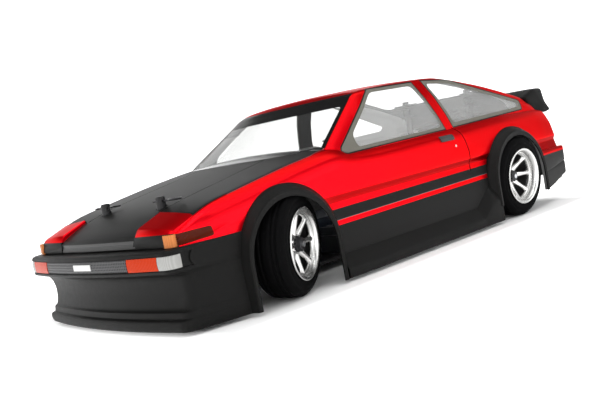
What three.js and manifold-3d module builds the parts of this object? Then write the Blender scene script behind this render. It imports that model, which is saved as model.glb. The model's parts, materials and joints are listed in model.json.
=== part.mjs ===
// 1:10 electric drift car: a moulded polycarbonate shell pinned to a two-deck rear-drive chassis.
// Millimetres. +X is the car's left, -Y its nose, +Z up. The origin is on the ground, midway along the car.
import * as THREE from 'three';
import { mergeVertices } from 'three/addons/utils/BufferGeometryUtils.js';
import Module from 'manifold-3d';

const wasm = await Module();
wasm.setup();

// ---- driving dimensions ----
// All places along Y are stated from a datum 2.7 mm ahead of the middle of the car's length.
const DATUM_Y = -2.7;
const FRONT_AXLE = -125;
const REAR_AXLE = 130;
const STEER = 24;              // wheels stand turned to the car's left, degrees
const FRONT_CAMBER = 4;
const REAR_CAMBER = 5;
const KINGPIN_X = 71.6;
const REAR_HUB_X = 74.7;
const FRONT_HUB_Z = 33.28;
const REAR_HUB_Z = 33.48;
const TYRE_R = 32.4;
const TYRE_HALF_WIDTH = 12.2;
const RIM_LIP_R = 22.5;
const RIM_HALF_WIDTH = 13;
const WHEEL_SIDES = 20;
const WHEEL_CENTRE = 8;        // middle of the tyre, outboard of the hub origin
const GAP = 0.3;
const SIDES = [1, -1];            // left, right

const WALL = 1.4;              // shell wall
const SIDE_X = 88;             // half width at the doors
const CREST_X = 80;            // half width at the fender crest and the window base
const ROOF_X = 64;
const ROOF_Z = 121;
const BELT_Z = 81;
const FLARE_X = 95.4;
const FLARE_R = 41.5;
const ARCH_R = 34.8;
const FRONT_ARCH = { y: FRONT_AXLE - 2.5, z: 28 };
const REAR_ARCH = { y: REAR_AXLE - 0.5, z: 30.6 };
const SKIRT_X = 94.5;

const PLATE_Z0 = 5;
const PLATE_Z1 = 7.5;
const DECK_Z0 = 50;
const DECK_Z1 = 52;

const ARM_INNER_X = 22;
const ARM_OUTER_X = 55;
const ARM_PIN_Z = 15;
const SHOCK_TOP = { x: 30, z: 66 };
const SHOCK_FOOT = { x: 45, z: 21 };
const FRONT_SHOCK_Y = FRONT_AXLE;
const REAR_SHOCK_Y = REAR_AXLE + 14;

const POST_R = 3;
const FRONT_POST = { x: 33.5, y: -175.5, top: 76.4, pin: 73.6 };
const REAR_POST = { x: 34.9, y: 158, top: 110.8, pin: 107.4 };

const SPOOL_Z = 33;
const SPOOL_R = 15.2;
const LAYSHAFT = { y: 107.8, z: 39 };
const LAY_PINION_R = 7.2;
const SPUR_R = 16.4;
const PINION_R = 8.7;
const MOTOR = { y: 84.9, z: 27.5, r: 18, x0: -15, x1: 36 };
const RACK = { y: -108, z: 33.2, eye: 38 };
const RACK_SHIFT = -5.8;        // the rack has moved this far with the wheels turned

// ---- solids from three.js geometry ----
function solid(geometry) {
  const bare = geometry.clone();
  bare.deleteAttribute('normal');
  bare.deleteAttribute('uv');
  const merged = mergeVertices(bare, 1e-4);
  const points = new Float32Array(merged.attributes.position.array);
  const made = (triVerts) => {
    const mesh = new wasm.Mesh({ numProp: 3, vertProperties: points, triVerts });
    return new wasm.Manifold(mesh);
  };
  const faces = new Uint32Array(merged.index.array);
  const body = made(faces);
  if (body.volume() > 0) return body;
  return made(faces.map((_, i) => faces[i - (i % 3) + [0, 2, 1][i % 3]]));
}

function geometryOf(body) {
  const raw = body.getMesh();
  const geometry = new THREE.BufferGeometry();
  geometry.setAttribute('position', new THREE.BufferAttribute(new Float32Array(raw.vertProperties), 3));
  geometry.setIndex(new THREE.BufferAttribute(new Uint32Array(raw.triVerts), 1));
  geometry.computeVertexNormals();
  return geometry;
}

const join = (...bodies) => bodies.reduce((sum, next) => sum.add(next));
const cut = (body, ...tools) => tools.reduce((rest, tool) => rest.subtract(tool), body);

function box(x0, x1, y0, y1, z0, z1) {
  const geometry = new THREE.BoxGeometry(x1 - x0, y1 - y0, z1 - z0);
  geometry.translate((x0 + x1) / 2, (y0 + y1) / 2, (z0 + z1) / 2);
  return solid(geometry);
}

// A round bar between two points.
function rod(from, to, radius, sides) {
  const a = new THREE.Vector3(...from);
  const b = new THREE.Vector3(...to);
  const geometry = new THREE.CylinderGeometry(radius, radius, a.distanceTo(b), sides);
  const up = new THREE.Vector3(0, 1, 0);
  geometry.applyQuaternion(new THREE.Quaternion().setFromUnitVectors(up, b.clone().sub(a).normalize()));
  geometry.translate((a.x + b.x) / 2, (a.y + b.y) / 2, (a.z + b.z) / 2);
  return solid(geometry);
}

// A flat outline in XY, raised from z0 to z1.
function plate(outline, z0, z1) {
  const shape = new THREE.Shape(outline.map(([x, y]) => new THREE.Vector2(x, y)));
  const geometry = new THREE.ExtrudeGeometry(shape, { depth: z1 - z0, bevelEnabled: false });
  geometry.translate(0, 0, z0);
  return solid(geometry);
}

// A flat outline in XZ, drawn from y0 to y1.
function upright(outline, y0, y1) {
  const shape = new THREE.Shape(outline.map(([x, z]) => new THREE.Vector2(x, z)));
  const geometry = new THREE.ExtrudeGeometry(shape, { depth: y1 - y0, bevelEnabled: false });
  geometry.rotateX(Math.PI / 2);
  geometry.translate(0, y1, 0);
  return solid(geometry);
}

// A closed profile of [radius, x] points turned about the X axis.
function turned(profile, sides) {
  const ring = profile.map(([r, x]) => new THREE.Vector2(r, x));
  ring.push(ring[0].clone());
  const geometry = new THREE.LatheGeometry(ring, sides);
  geometry.rotateZ(-Math.PI / 2);
  return solid(geometry);
}

// A skin over rings of equal point count, closed at both ends by flat caps.
// drop names the axis that the caps are flattened along to be triangulated.
function loft(rings, drop) {
  const count = rings[0].length;
  const positions = rings.flat(2);
  const index = [];
  for (let ring = 0; ring + 1 < rings.length; ring += 1) {
    for (let point = 0; point < count; point += 1) {
      const a = ring * count + point;
      const b = ring * count + (point + 1) % count;
      index.push(a, b, a + count, b, b + count, a + count);
    }
  }
  const keep = [0, 1, 2].filter((axis) => axis !== drop);
  const flat = (ring) => ring.map((p) => new THREE.Vector2(p[keep[0]], p[keep[1]]));
  const last = (rings.length - 1) * count;
  const sameWay = THREE.ShapeUtils.area(flat(rings[0])) > 0;
  const firstCap = THREE.ShapeUtils.triangulateShape(flat(rings[0]), []);
  const lastCap = THREE.ShapeUtils.triangulateShape(flat(rings[rings.length - 1]), []);
  for (const [a, b, c] of firstCap) {
    index.push(...(sameWay ? [a, c, b] : [a, b, c]));
  }
  for (const [a, b, c] of lastCap) {
    index.push(...(sameWay ? [last + a, last + b, last + c] : [last + a, last + c, last + b]));
  }
  const geometry = new THREE.BufferGeometry();
  geometry.setAttribute('position', new THREE.Float32BufferAttribute(positions, 3));
  geometry.setIndex(index);
  return solid(geometry);
}

// A half outline and its mirror image, drawn as one closed loop.
function mirrored(half) {
  const offCentre = half.filter(([x]) => x !== 0);
  return [...half, ...offCentre.reverse().map(([x, ...rest]) => [-x, ...rest])];
}

// A box between two places along X given in either order.
const spanX = (xa, xb, ...rest) => box(Math.min(xa, xb), Math.max(xa, xb), ...rest);

// ---- moulded shell ----
// Lower body: place along Y, centre height, crest height, side half width, lowest edge.
const BODY_STATIONS = [
  [-208.6, 54.0, 53.4, 80.5, 48],
  [-204, 59.0, 58.6, 82.4, 48],
  [-186, 67.0, 66.0, 85.5, 48],
  [-171, 71.4, 69.4, 87.0, 48],
  [-150, 75.4, 73.4, 87.8, 14],
  [-130, 79.0, 77.0, 88.0, 14],
  [-100, 84.6, 81.8, 88.0, 14],
  [-72, 89.6, 86.0, 88.2, 14],
  [-55, 89.6, 84.0, 88.3, 14],
  [-30, 86.0, 81.0, 88.4, 14],
  [60, 86.0, 82.4, 88.4, 14],
  [130, 88.0, 84.0, 88.2, 14],
  [185, 90.0, 84.4, 87.0, 14],
  [207, 84.0, 80.0, 84.0, 14],
];
const NOSE_BOW = 5;

function bodyShape(inset) {
  const rings = BODY_STATIONS.map(([y, top, crest, side, bottom], i) => {
    const isNose = i === 0;
    const isTail = i === BODY_STATIONS.length - 1;
    const place = y + (isNose ? inset : 0) - (isTail ? inset : 0);
    const x = side - inset;
    const low = inset > 0 ? bottom - 6 : bottom;
    const drop = Math.min(7, 0.4 * (crest - bottom));
    const half = [
      [0, top - inset],
      [40, top - 0.8 - inset],
      [CREST_X - 5 - 0.4 * inset, crest + 0.3 - inset],
      [CREST_X - 0.4 * inset, crest - 0.7 - inset],
      [x - 1.5, crest - 0.9 * drop],
      [x - 0.3, crest - 1.8 * drop],
      [x, 0.5 * (crest - 1.8 * drop + low)],
      [x - 0.8, low],
    ];
    const bow = isNose || i === 1 ? NOSE_BOW : 0;
    return mirrored(half.map(([px, pz]) => [px, place + bow * (px / CREST_X) ** 2, pz]));
  });
  return loft(rings, 1);
}

// Raised lamp cover beside the hood's front edge: place along Y, inner and outer top heights.
const POD_STATIONS = [
  [-206.6, 54.4, 53.4],
  [-203.6, 61.3, 58.9],
  [-186.4, 68.1, 66.0],
  [-185.4, 66.0, 64.4],
];

function podShape(side) {
  const rings = POD_STATIONS.map(([y, inner, outer]) => {
    const outline = [[45.8, 51], [45.8, inner - 0.4], [47, inner], [78, outer], [79.4, outer - 0.9], [79.4, 51]];
    return outline.map(([x, z]) => [side * x, y + 0.4 * NOSE_BOW * (x / CREST_X) ** 2, z]);
  });
  return loft(rings, 1);
}

// Greenhouse: place of the corner along Y, height of the roof edge.
const ROOF_STATIONS = [
  [-72, 84.0],
  [-67.5, 88.0],
  [-18, 120.2],
  [8, 122.6],
  [40, 123.6],
  [72, 123.4],
  [92, 120.4],
  [115, 115.2],
  [150, 105.2],
  [192, 93.6],
  [198, 90.6],
];
const SCREEN_BOW = 7;
const tumblehome = (z) => CREST_X + 0.6 - (CREST_X - ROOF_X) * (z - BELT_Z) / (ROOF_Z - BELT_Z);

function greenhouseShape(inset) {
  const rings = ROOF_STATIONS.map(([y, edge], i) => {
    const isFirst = i === 0;
    const isLast = i === ROOF_STATIONS.length - 1;
    const place = y + (isFirst ? inset : 0) - (isLast ? inset : 0);
    const edgeX = tumblehome(edge);
    const crown = 2.6 * (edge - 84) / 36;
    const half = [
      [0, edge + crown - inset],
      [edgeX * 0.6, edge + 0.7 * crown - inset],
      [edgeX - 4 - 0.5 * inset, edge + 0.2 - inset],
      [edgeX - inset, edge - 2.4 - 0.3 * inset],
      [tumblehome(72) - 1.6 - inset, 72 - inset],
    ];
    const bow = i < 3 ? -SCREEN_BOW : 0;
    return mirrored(half.map(([px, pz]) => [px, place + bow * (1 - (px / CREST_X) ** 2), pz]));
  });
  return loft(rings, 1);
}

// Bumper plan at one level: bowed face, round corner, then a side that spreads to the wheel arch.
function bumperRing(z, face, corner, bow, round, sideEnd, xEnd) {
  const sign = Math.sign(face);
  const half = [0, 0.5, 0.8].map((share) => {
    const x = share * (corner - round);
    return [x, face - sign * bow * (x / corner) ** 2, z];
  });
  const edge = face - sign * bow * ((corner - round) / corner) ** 2;
  for (let step = 0; step <= 2; step += 1) {
    const turn = (step / 2) * Math.PI / 2;
    half.push([corner - round + round * Math.sin(turn), edge - sign * round * (1 - Math.cos(turn)), z]);
  }
  half.push([xEnd, sideEnd, z]);
  return mirrored(half);
}

// Levels: height, how far the face reaches, corner half width.
const FRONT_BUMPER = [
  [2.4, 213.0, 82.0],
  [9, 214.4, 83.0],
  [12.5, 211.0, 82.6],
  [18, 208.2, 82.6],
  [25, 207.4, 83.0],
  [31, 208.8, 83.8],
  [35, 211.5, 84.0],
  [36.6, 218.0, 85.0],
  [43, 220.0, 86.0],
  [49.6, 218.4, 85.5],
];
const FRONT_ARCH_EDGE = FRONT_ARCH.y - ARCH_R + 1;

function frontBumperShape(inset) {
  const rings = FRONT_BUMPER.map(([z, reach, corner], i) => {
    const isTop = i === FRONT_BUMPER.length - 1;
    const level = i === 0 && inset > 0 ? z - 8 : z - (isTop ? inset : 0);
    const side = 90.5 - inset - 0.04 * (z - 2.4);
    return bumperRing(level, -(reach - inset), corner - inset, 8, 9, FRONT_ARCH_EDGE + inset, side);
  });
  return loft(rings, 2);
}

const REAR_BUMPER = [
  [15, 214, 82.0],
  [18, 219, 83.5],
  [30, 221.5, 84.5],
  [44, 222.5, 85.0],
  [46.4, 221.0, 84.5],
];
const REAR_ARCH_EDGE = REAR_ARCH.y + ARCH_R - 1;

function rearBumperShape(inset) {
  const rings = REAR_BUMPER.map(([z, reach, corner], i) => {
    const isTop = i === REAR_BUMPER.length - 1;
    const level = i === 0 && inset > 0 ? z - 8 : z - (isTop ? inset : 0);
    return bumperRing(level, reach - inset, corner - inset, 6, 8, REAR_ARCH_EDGE - inset, 90.5 - inset);
  });
  return loft(rings, 2);
}

// An arch outline in YZ: a half circle on two legs that reach down to foot.
function archRing(x, y, z, radius, foot, steps) {
  const ring = [[x, y + radius, foot]];
  for (let step = 0; step <= steps; step += 1) {
    const turn = Math.PI * step / steps;
    ring.push([x, y + radius * Math.cos(turn), z + radius * Math.sin(turn)]);
  }
  ring.push([x, y - radius, foot]);
  return ring;
}

// Flare: from a ring on the body side it swells out to a lip around the arch opening.
function flareShape(side, axle, arch, foot, inset) {
  const low = inset > 0 ? foot - 10 : foot;
  const levels = [
    [inset > 0 ? 60 : 80, FLARE_R, 0],
    [SIDE_X - 0.5 * inset, FLARE_R, 0],
    [SIDE_X + 3.4 - inset, FLARE_R - 1.8, 0.4],
    [FLARE_X - inset, ARCH_R + 2.2, 1],
  ];
  const ringAt = ([x, r, share]) => {
    const y = axle + share * (arch.y - axle);
    return archRing(side * x, y, arch.z + 1.4, r - inset, low, 10);
  };
  return loft(levels.map(ringAt), 0);
}

function archOpening(side, arch) {
  return loft([60, 110].map((x) => archRing(side * x, arch.y, arch.z, ARCH_R, -20, 12)), 0);
}

const SKIRT_Y0 = FRONT_AXLE + 39;
const SKIRT_Y1 = REAR_AXLE - 36;

function skirtShape(side, inset) {
  const outer = [
    [80, 17.6], [88.4, 16.8], [90.2, 11.6], [SKIRT_X, 8.2], [SKIRT_X, 2.6], [92, 1.6], [80, 1.6],
  ];
  const inner = [[70, 20], [86.6, 15.6], [88.6, 10.4], [SKIRT_X - WALL, 7.0], [SKIRT_X - WALL, -8], [70, -8]];
  const outline = (inset > 0 ? inner : outer).map(([x, z]) => [side * x, z]);
  return upright(outline, SKIRT_Y0 + inset, SKIRT_Y1 - inset);
}

function bodyShell() {
  const skins = [0, WALL].map((inset) => join(
    bodyShape(inset),
    greenhouseShape(inset),
    frontBumperShape(inset),
    rearBumperShape(inset),
    ...SIDES.flatMap((side) => [
      flareShape(side, FRONT_AXLE, FRONT_ARCH, 2.5, inset),
      flareShape(side, REAR_AXLE, REAR_ARCH, 14, inset),
      skirtShape(side, inset),
      ...(inset > 0 ? [] : [podShape(side)]),
    ]),
  ));
  const openings = SIDES.flatMap((side) => [
    archOpening(side, FRONT_ARCH),
    archOpening(side, REAR_ARCH),
    rod([side * FRONT_POST.x, FRONT_POST.y, 60], [side * FRONT_POST.x, FRONT_POST.y, 90], 3.6, 10),
    rod([side * REAR_POST.x, REAR_POST.y, 90], [side * REAR_POST.x, REAR_POST.y, 120], 3.6, 10),
  ]);
  return cut(skins[0], skins[1], ...openings);
}

// Rear wing: a lip that lies behind the hatch and turns down over both rear corners.
// Stations: half span, trailing edge height, root height, trailing edge place along Y.
const WING_STATIONS = [
  [0, 101.6, 97.0, 225.4],
  [40, 101.2, 96.6, 225.0],
  [61, 100.6, 95.6, 224.6],
  [69, 97.6, 92.0, 223.0],
  [74.5, 89.0, 86.0, 218.0],
  [77.5, 80.6, 80.2, 212.0],
];

function rearWing() {
  const face = 194;
  const section = ([x, tip, root, reach]) => [
    [x, face, root],
    [x, reach, tip],
    [x, reach - 0.4, tip - 1.5],
    [x, reach - 8, tip - 4.2],
    [x, face, root - 14],
  ];
  const rings = WING_STATIONS.map(section);
  const farSide = rings.slice(1).reverse().map((ring) => ring.map(([x, y, z]) => [-x, y, z]));
  const blank = loft([...farSide, ...rings], 0);
  const pieces = cut(blank, bodyShape(-GAP), greenhouseShape(-GAP)).decompose();
  return pieces.sort((a, b) => b.volume() - a.volume())[0];
}

// ---- pins and posts that hold the shell ----
function bodyPost(side, post) {
  const foot = PLATE_Z1 + GAP;
  const surface = post.pin - 4.2;
  const column = join(
    rod([side * post.x, post.y, foot], [side * post.x, post.y, post.top], POST_R, 10),
    rod([side * post.x, post.y, foot], [side * post.x, post.y, foot + 8], 5, 10),
    rod([side * post.x, post.y, surface - 8], [side * post.x, post.y, surface - 6], 6, 10),
  );
  const x = side * post.x;
  const pinHole = box(x - 8, x + 8, post.y - 1, post.y + 1, post.pin - 1, post.pin + 1);
  return cut(column, pinHole);
}

// A hairpin of spring wire: a straight leg through the post, an eye, and a bowed return leg beside the post.
function bodyClip(side, post) {
  const eye = 11;
  const points = [
    [-8, 0], [8, 0], [eye, -0.6], [eye + 3.4, 0.6], [eye + 4.4, 3.4],
    [eye + 2.6, 5.8], [eye - 0.4, 6], [5.4, 4.6], [1, 4.9], [-3, 4.2], [-8.4, 6.4],
  ];
  const knots = points.map(([x, y]) => new THREE.Vector3(side * x, y, 0));
  const path = new THREE.CatmullRomCurve3(knots, false, 'centripetal');
  const wire = new THREE.Shape();
  const wireR = 0.65;
  for (let corner = 0; corner < 4; corner += 1) {
    const turn = (corner + 0.5) * 0.5 * Math.PI;
    const move = corner === 0 ? 'moveTo' : 'lineTo';
    wire[move](wireR * Math.cos(turn), wireR * Math.sin(turn));
  }
  const geometry = new THREE.ExtrudeGeometry(wire, { steps: 18, extrudePath: path });
  geometry.translate(side * post.x, post.y, post.pin);
  return solid(geometry);
}

// ---- chassis ----
function chassisPlate() {
  const half = [
    [0, -196], [30, -196], [42, -184], [42, -166], [20, -156], [20, -100], [42, -78],
    [42, 74], [24, 98], [20, 112], [20, 146], [42, 150], [42, 168], [0, 172],
  ];
  const outline = [...half, ...half.slice(1, -1).reverse().map(([x, y]) => [-x, y])];
  const screwHoles = [[0, -60], [0, 64], [32, -60], [-32, -60]]
    .map(([x, y]) => rod([x, y, 0], [x, y, 12], 1.6, 8));
  return cut(plate(outline, PLATE_Z0, PLATE_Z1), ...screwHoles);
}

function upperDeck() {
  const half = [[12, -114.6], [12, -90], [7, -70], [7, 70], [12, 96], [12, 120]];
  const outline = [...half, ...half.slice().reverse().map(([x, y]) => [-x, y])];
  const windows = [-40, 0, 40].map((y) => box(-4, 4, y - 14, y + 14, DECK_Z0 - 1, DECK_Z1 + 1));
  return cut(plate(outline, DECK_Z0, DECK_Z1), ...windows);
}

// Lugs with the hinge pins that the lower arms swing on.
const armPivots = (axle) => SIDES.flatMap((s) => [
  spanX(s * 17, s * 24.5, axle - 7, axle + 7, ARM_PIN_Z - 3, ARM_PIN_Z + 3),
  rod([s * ARM_INNER_X, axle - 19, ARM_PIN_Z], [s * ARM_INNER_X, axle + 19, ARM_PIN_Z], 1.5, 8),
]);

// Studs that the dampers hang from.
const shockStuds = (y0, y1) => SIDES.map((s) => rod([s * SHOCK_TOP.x, y0, SHOCK_TOP.z],
  [s * SHOCK_TOP.x, y1, SHOCK_TOP.z], 1.6, 8));

const TOWER = [[-36, 70], [-27, 60], [-12, 52], [-12, 44], [12, 44], [12, 52], [27, 60], [36, 70],
  [34, 74], [24, 70], [8, 62], [-8, 62], [-24, 70], [-34, 74]];

function frontBulkhead() {
  const base = PLATE_Z1 + GAP;
  const rear = FRONT_AXLE + 12;
  const block = box(-13, 13, FRONT_AXLE - 14, rear, base, DECK_Z0 - GAP);
  const relief = box(-9, 9, FRONT_AXLE - 20, rear + 5, base + 8, DECK_Z0 - 8);
  const tower = upright(TOWER, FRONT_AXLE + 7, FRONT_AXLE + 10);
  const pivots = SIDES.map((s) => spanX(s * 12, s * 18, FRONT_AXLE - 8, FRONT_AXLE + 8, base, ARM_PIN_Z + 4));
  const rails = SIDES.map((s) => box(s * 8 - 2, s * 8 + 2, rear - 1, RACK.y + 3, RACK.z - 6.2, RACK.z - 1.9));
  return join(cut(block, relief), tower, ...shockStuds(FRONT_AXLE + 8, FRONT_SHOCK_Y - 5), ...pivots,
    ...armPivots(FRONT_AXLE), ...rails);
}

function rearGearbox() {
  const base = PLATE_Z1 + GAP;
  const front = 104;
  const back = REAR_AXLE + 20;
  const floorPlate = box(-18.2, 18.2, front, back, base, base + 3);
  const leftWall = box(15.3, 18.2, front, back, base, DECK_Z0 - GAP);
  const rightWall = box(-18.2, -15.3, 64, back, base, DECK_Z0 - GAP);
  const backWall = box(-18.2, 18.2, back - 3, back, base, DECK_Z0 - GAP);
  const roof = box(-18.2, 18.2, back - 10, back, DECK_Z0 - 3.3, DECK_Z0 - GAP);
  const tower = upright(TOWER.map(([x, z]) => [x, z === 44 ? 30 : z]), back - 0.5, back + 2.5);
  const frame = join(floorPlate, leftWall, rightWall, backWall, roof, tower,
    ...shockStuds(back + 1, REAR_SHOCK_Y - 5), ...armPivots(REAR_AXLE));
  const shaftHole = (xEnd, y, z, radius) => rod([-30, y, z], [xEnd, y, z], radius, 10);
  return cut(
    frame,
    shaftHole(30, REAR_AXLE, SPOOL_Z, 6.2),
    shaftHole(14, LAYSHAFT.y, LAYSHAFT.z, 3),
    shaftHole(0, MOTOR.y, MOTOR.z, 5),
  );
}

function battery() {
  const base = PLATE_Z1 + GAP;
  const body = box(-38, 9, -52, 44, base, base + 25);
  const sockets = [[-28, 26], [0, 26]].map(([x, y]) => rod([x, y, base + 20], [x, y, base + 30], 2.2, 8));
  return cut(body, ...sockets);
}

// Speed controller and receiver in one case.
function speedController() {
  const base = PLATE_Z1 + GAP;
  const body = box(13, 38, -34, 12, base, base + 13);
  const fins = [0, 1, 2, 3, 4].map((i) => box(15, 36, -31 + 7 * i, -28 + 7 * i, base + 12, base + 19));
  const pinSlot = box(17, 33, 8, 20, base + 3, base + 9);
  return cut(join(body, ...fins), pinSlot);
}

function motor() {
  const { y, z, r, x0, x1 } = MOTOR;
  const can = rod([x0, y, z], [x1, y, z], r, 20);
  const endBell = rod([x1 - 1, y, z], [x1 + 2, y, z], r - 3, 20);
  const vents = [0, 1, 2, 3, 4, 5].map((i) => {
    const turn = i * Math.PI / 3;
    const at = [y + 17.5 * Math.cos(turn), z + 17.5 * Math.sin(turn)];
    return rod([20, ...at], [32, ...at], 2, 6);
  });
  return cut(join(can, endBell), ...vents);
}

// A toothed wheel on the X axis through y, z.
function gear(x0, x1, y, z, radius, teeth, depth, phase = 0) {
  const outline = [];
  for (let step = 0; step < teeth * 2; step += 1) {
    const turn = (step + phase) * Math.PI / teeth;
    const r = step % 2 === 0 ? radius : radius - depth;
    outline.push([x0, y + r * Math.cos(turn), z + r * Math.sin(turn)]);
  }
  return loft([outline, outline.map(([, py, pz]) => [x1, py, pz])], 0);
}

const motorPinion = () => join(
  gear(-22.4, -18.7, MOTOR.y, MOTOR.z, PINION_R, 16, 0.7),
  rod([-22.4, MOTOR.y, MOTOR.z], [MOTOR.x0 - GAP, MOTOR.y, MOTOR.z], 1.6, 8),
);

const spurGear = () => join(
  gear(-22.2, -18.9, LAYSHAFT.y, LAYSHAFT.z, SPUR_R, 30, 0.8),
  rod([-24, LAYSHAFT.y, LAYSHAFT.z], [13, LAYSHAFT.y, LAYSHAFT.z], 2.5, 8),
  rod([-4, LAYSHAFT.y, LAYSHAFT.z], [4, LAYSHAFT.y, LAYSHAFT.z], LAY_PINION_R, 12),
);

// Locked final drive: ring gear and the two cups that the driveshafts run in.
function rearSpool() {
  const wheel = rod([-4, REAR_AXLE, SPOOL_Z], [4, REAR_AXLE, SPOOL_Z], SPOOL_R, 18);
  const barrel = rod([-24, REAR_AXLE, SPOOL_Z], [24, REAR_AXLE, SPOOL_Z], 5.6, 10);
  const cups = SIDES.map((s) => rod([s * 15, REAR_AXLE, SPOOL_Z], [s * 27, REAR_AXLE, SPOOL_Z], 4.2, 8));
  return cut(join(wheel, barrel), ...cups);
}

function steeringServo() {
  const base = PLATE_Z1 + GAP;
  const body = box(-18, 18, -98, -62, base, base + 20);
  const ears = box(-23, 23, -90, -88, base + 2, base + 18);
  const spline = rod([8, -102, base + 12], [8, -97, base + 12], 3, 8);
  const horn = join(rod([8, -104.4, base + 12], [8, -101.6, base + 12], 4.4, 8),
    box(6, 10, -104.4, -102, base + 10, base + 21.4));
  return join(body, ears, spline, horn);
}

function steeringRack() {
  const bar = box(-RACK.eye, RACK.eye, RACK.y - 2.4, RACK.y + 2.4, RACK.z - 1.5, RACK.z + 1.5);
  const eye = (s, reach, radius, sides) => rod([s * RACK.eye, RACK.y, RACK.z - reach],
    [s * RACK.eye, RACK.y, RACK.z + reach], radius, sides);
  const eyes = SIDES.map((s) => eye(s, 2.5, 3.4, 10));
  const clearances = SIDES.map((s) => eye(s, 5, 2, 8));
  return cut(join(bar, ...eyes), ...clearances).translate([RACK_SHIFT, 0, 0]);
}

// Where the ball of a steering arm stands, seen from above, for one side of the turned wheels.
const STEER_BALL = { x: -6.5, y: 15 };

function steerBall(side) {
  const turn = THREE.MathUtils.degToRad(STEER);
  const x = side * STEER_BALL.x;
  return [
    side * KINGPIN_X + x * Math.cos(turn) - STEER_BALL.y * Math.sin(turn),
    FRONT_AXLE + x * Math.sin(turn) + STEER_BALL.y * Math.cos(turn),
  ];
}

// Links reach from a pin in the rack's eye to just short of the steering arm's ball.
function tieRod(side) {
  const pivot = [side * RACK.eye + RACK_SHIFT, RACK.y, RACK.z];
  const [ballX, ballY] = steerBall(side);
  const length = Math.hypot(ballX - pivot[0], ballY - pivot[1]);
  const along = [(ballX - pivot[0]) / length, (ballY - pivot[1]) / length];
  const at = (d) => [pivot[0] + d * along[0], pivot[1] + d * along[1], RACK.z + 4.6];
  const standing = (z0, z1, radius) => rod([...pivot.slice(0, 2), z0], [...pivot.slice(0, 2), z1], radius, 8);
  const pin = standing(RACK.z - 2, RACK.z + 4, 1.6);
  const link = rod(at(0), at(length - 5.4), 1.5, 6);
  const eye = standing(RACK.z + 2.9, RACK.z + 6.4, 2.8);
  const collar = rod(at(length - 11), at(length - 5), 2.3, 6);
  return join(pin, link, eye, collar);
}

// ---- suspension ----
function lowerArm(side, axle) {
  const half = [
    [ARM_INNER_X - 3.2, 7.6], [ARM_INNER_X - 3.2, 17.6], [ARM_INNER_X + 4, 17.6],
    [ARM_OUTER_X - 8, 11], [ARM_OUTER_X + 3.2, 9.6], [ARM_OUTER_X + 3.2, 6.5],
    [ARM_OUTER_X - 6.6, 6.5], [ARM_INNER_X + 16, 5], [ARM_INNER_X + 8, 7.6],
  ];
  const wing = (s) => plate(half.map(([x, y]) => [side * x, axle + s * y]), ARM_PIN_Z - 2.6, ARM_PIN_Z + 2.6);
  const crossWeb = spanX(side * 36, side * 46, axle - 8, axle + 8, ARM_PIN_Z - 2, ARM_PIN_Z + 2);
  const shockY = axle === REAR_AXLE ? REAR_SHOCK_Y : FRONT_SHOCK_Y;
  const x = side * SHOCK_FOOT.x;
  const cheeks = [-1, 1].map((s) => box(x - 2.5, x + 2.5, shockY + s * 5 - 1.2, shockY + s * 5 + 1.2,
    ARM_PIN_Z + 1, SHOCK_FOOT.z + 2.4));
  const shelf = box(x - 4, x + 4, Math.min(axle, shockY - 6.2), shockY + 6.2, ARM_PIN_Z - 2, ARM_PIN_Z + 1.4);
  const lengthways = (px, pz, y, reach, radius) => rod([px, y - reach, pz], [px, y + reach, pz], radius, 8);
  const pin = lengthways(x, SHOCK_FOOT.z, shockY, 5.5, 1.2);
  const bores = [ARM_INNER_X, ARM_OUTER_X].map((px) => lengthways(side * px, ARM_PIN_Z, axle, 30, 1.9));
  return cut(join(wing(1), wing(-1), crossWeb, shelf, ...cheeks, pin), ...bores);
}

// Caster block: an upright C whose two lugs hold the steering knuckle's kingpin.
function casterBlock(side) {
  const x = (d) => side * (KINGPIN_X - d);
  const span = (a, b, ...rest) => spanX(x(a), x(b), ...rest);
  const web = span(19, 14, FRONT_AXLE - 5, FRONT_AXLE + 5, ARM_PIN_Z - 2, FRONT_HUB_Z + 17);
  const foot = span(21, 13, FRONT_AXLE - 5.8, FRONT_AXLE + 5.8, ARM_PIN_Z - 3.4, ARM_PIN_Z + 3.4);
  const lugs = [-1, 1].map((s) => {
    const z0 = FRONT_HUB_Z + s * 15.6;
    return join(
      span(15, 0, FRONT_AXLE - 3.2, FRONT_AXLE + 3.2, z0 - 1.3, z0 + 1.3),
      rod([x(0), FRONT_AXLE, z0 - 1.3], [x(0), FRONT_AXLE, z0 + 1.3], 3.2, 10),
    );
  });
  const hingePin = rod([side * ARM_OUTER_X, FRONT_AXLE - 11, ARM_PIN_Z],
    [side * ARM_OUTER_X, FRONT_AXLE + 11, ARM_PIN_Z], 1.4, 8);
  return join(web, foot, ...lugs, hingePin);
}

function hubCarrier(side) {
  const x = (d) => side * (REAR_HUB_X - d);
  const span = (a, b, ...rest) => spanX(x(a), x(b), ...rest);
  const housing = rod([x(13), REAR_AXLE, REAR_HUB_Z + 1.1], [x(6.4), REAR_AXLE, REAR_HUB_Z + 0.5], 9, 12);
  const foot = span(23, 12, REAR_AXLE - 5.8, REAR_AXLE + 5.8, ARM_PIN_Z - 3.4, ARM_PIN_Z + 3.4);
  const web = span(15, 8, REAR_AXLE - 5.4, REAR_AXLE + 5.4, ARM_PIN_Z - 2, REAR_HUB_Z - 6.6);
  const bore = rod([x(40), REAR_AXLE, REAR_HUB_Z + 3.4], [x(0), REAR_AXLE, REAR_HUB_Z], 3.2, 8);
  const hingePin = rod([side * ARM_OUTER_X, REAR_AXLE - 11, ARM_PIN_Z],
    [side * ARM_OUTER_X, REAR_AXLE + 11, ARM_PIN_Z], 1.4, 8);
  return join(cut(join(housing, foot, web), bore), hingePin);
}

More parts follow.
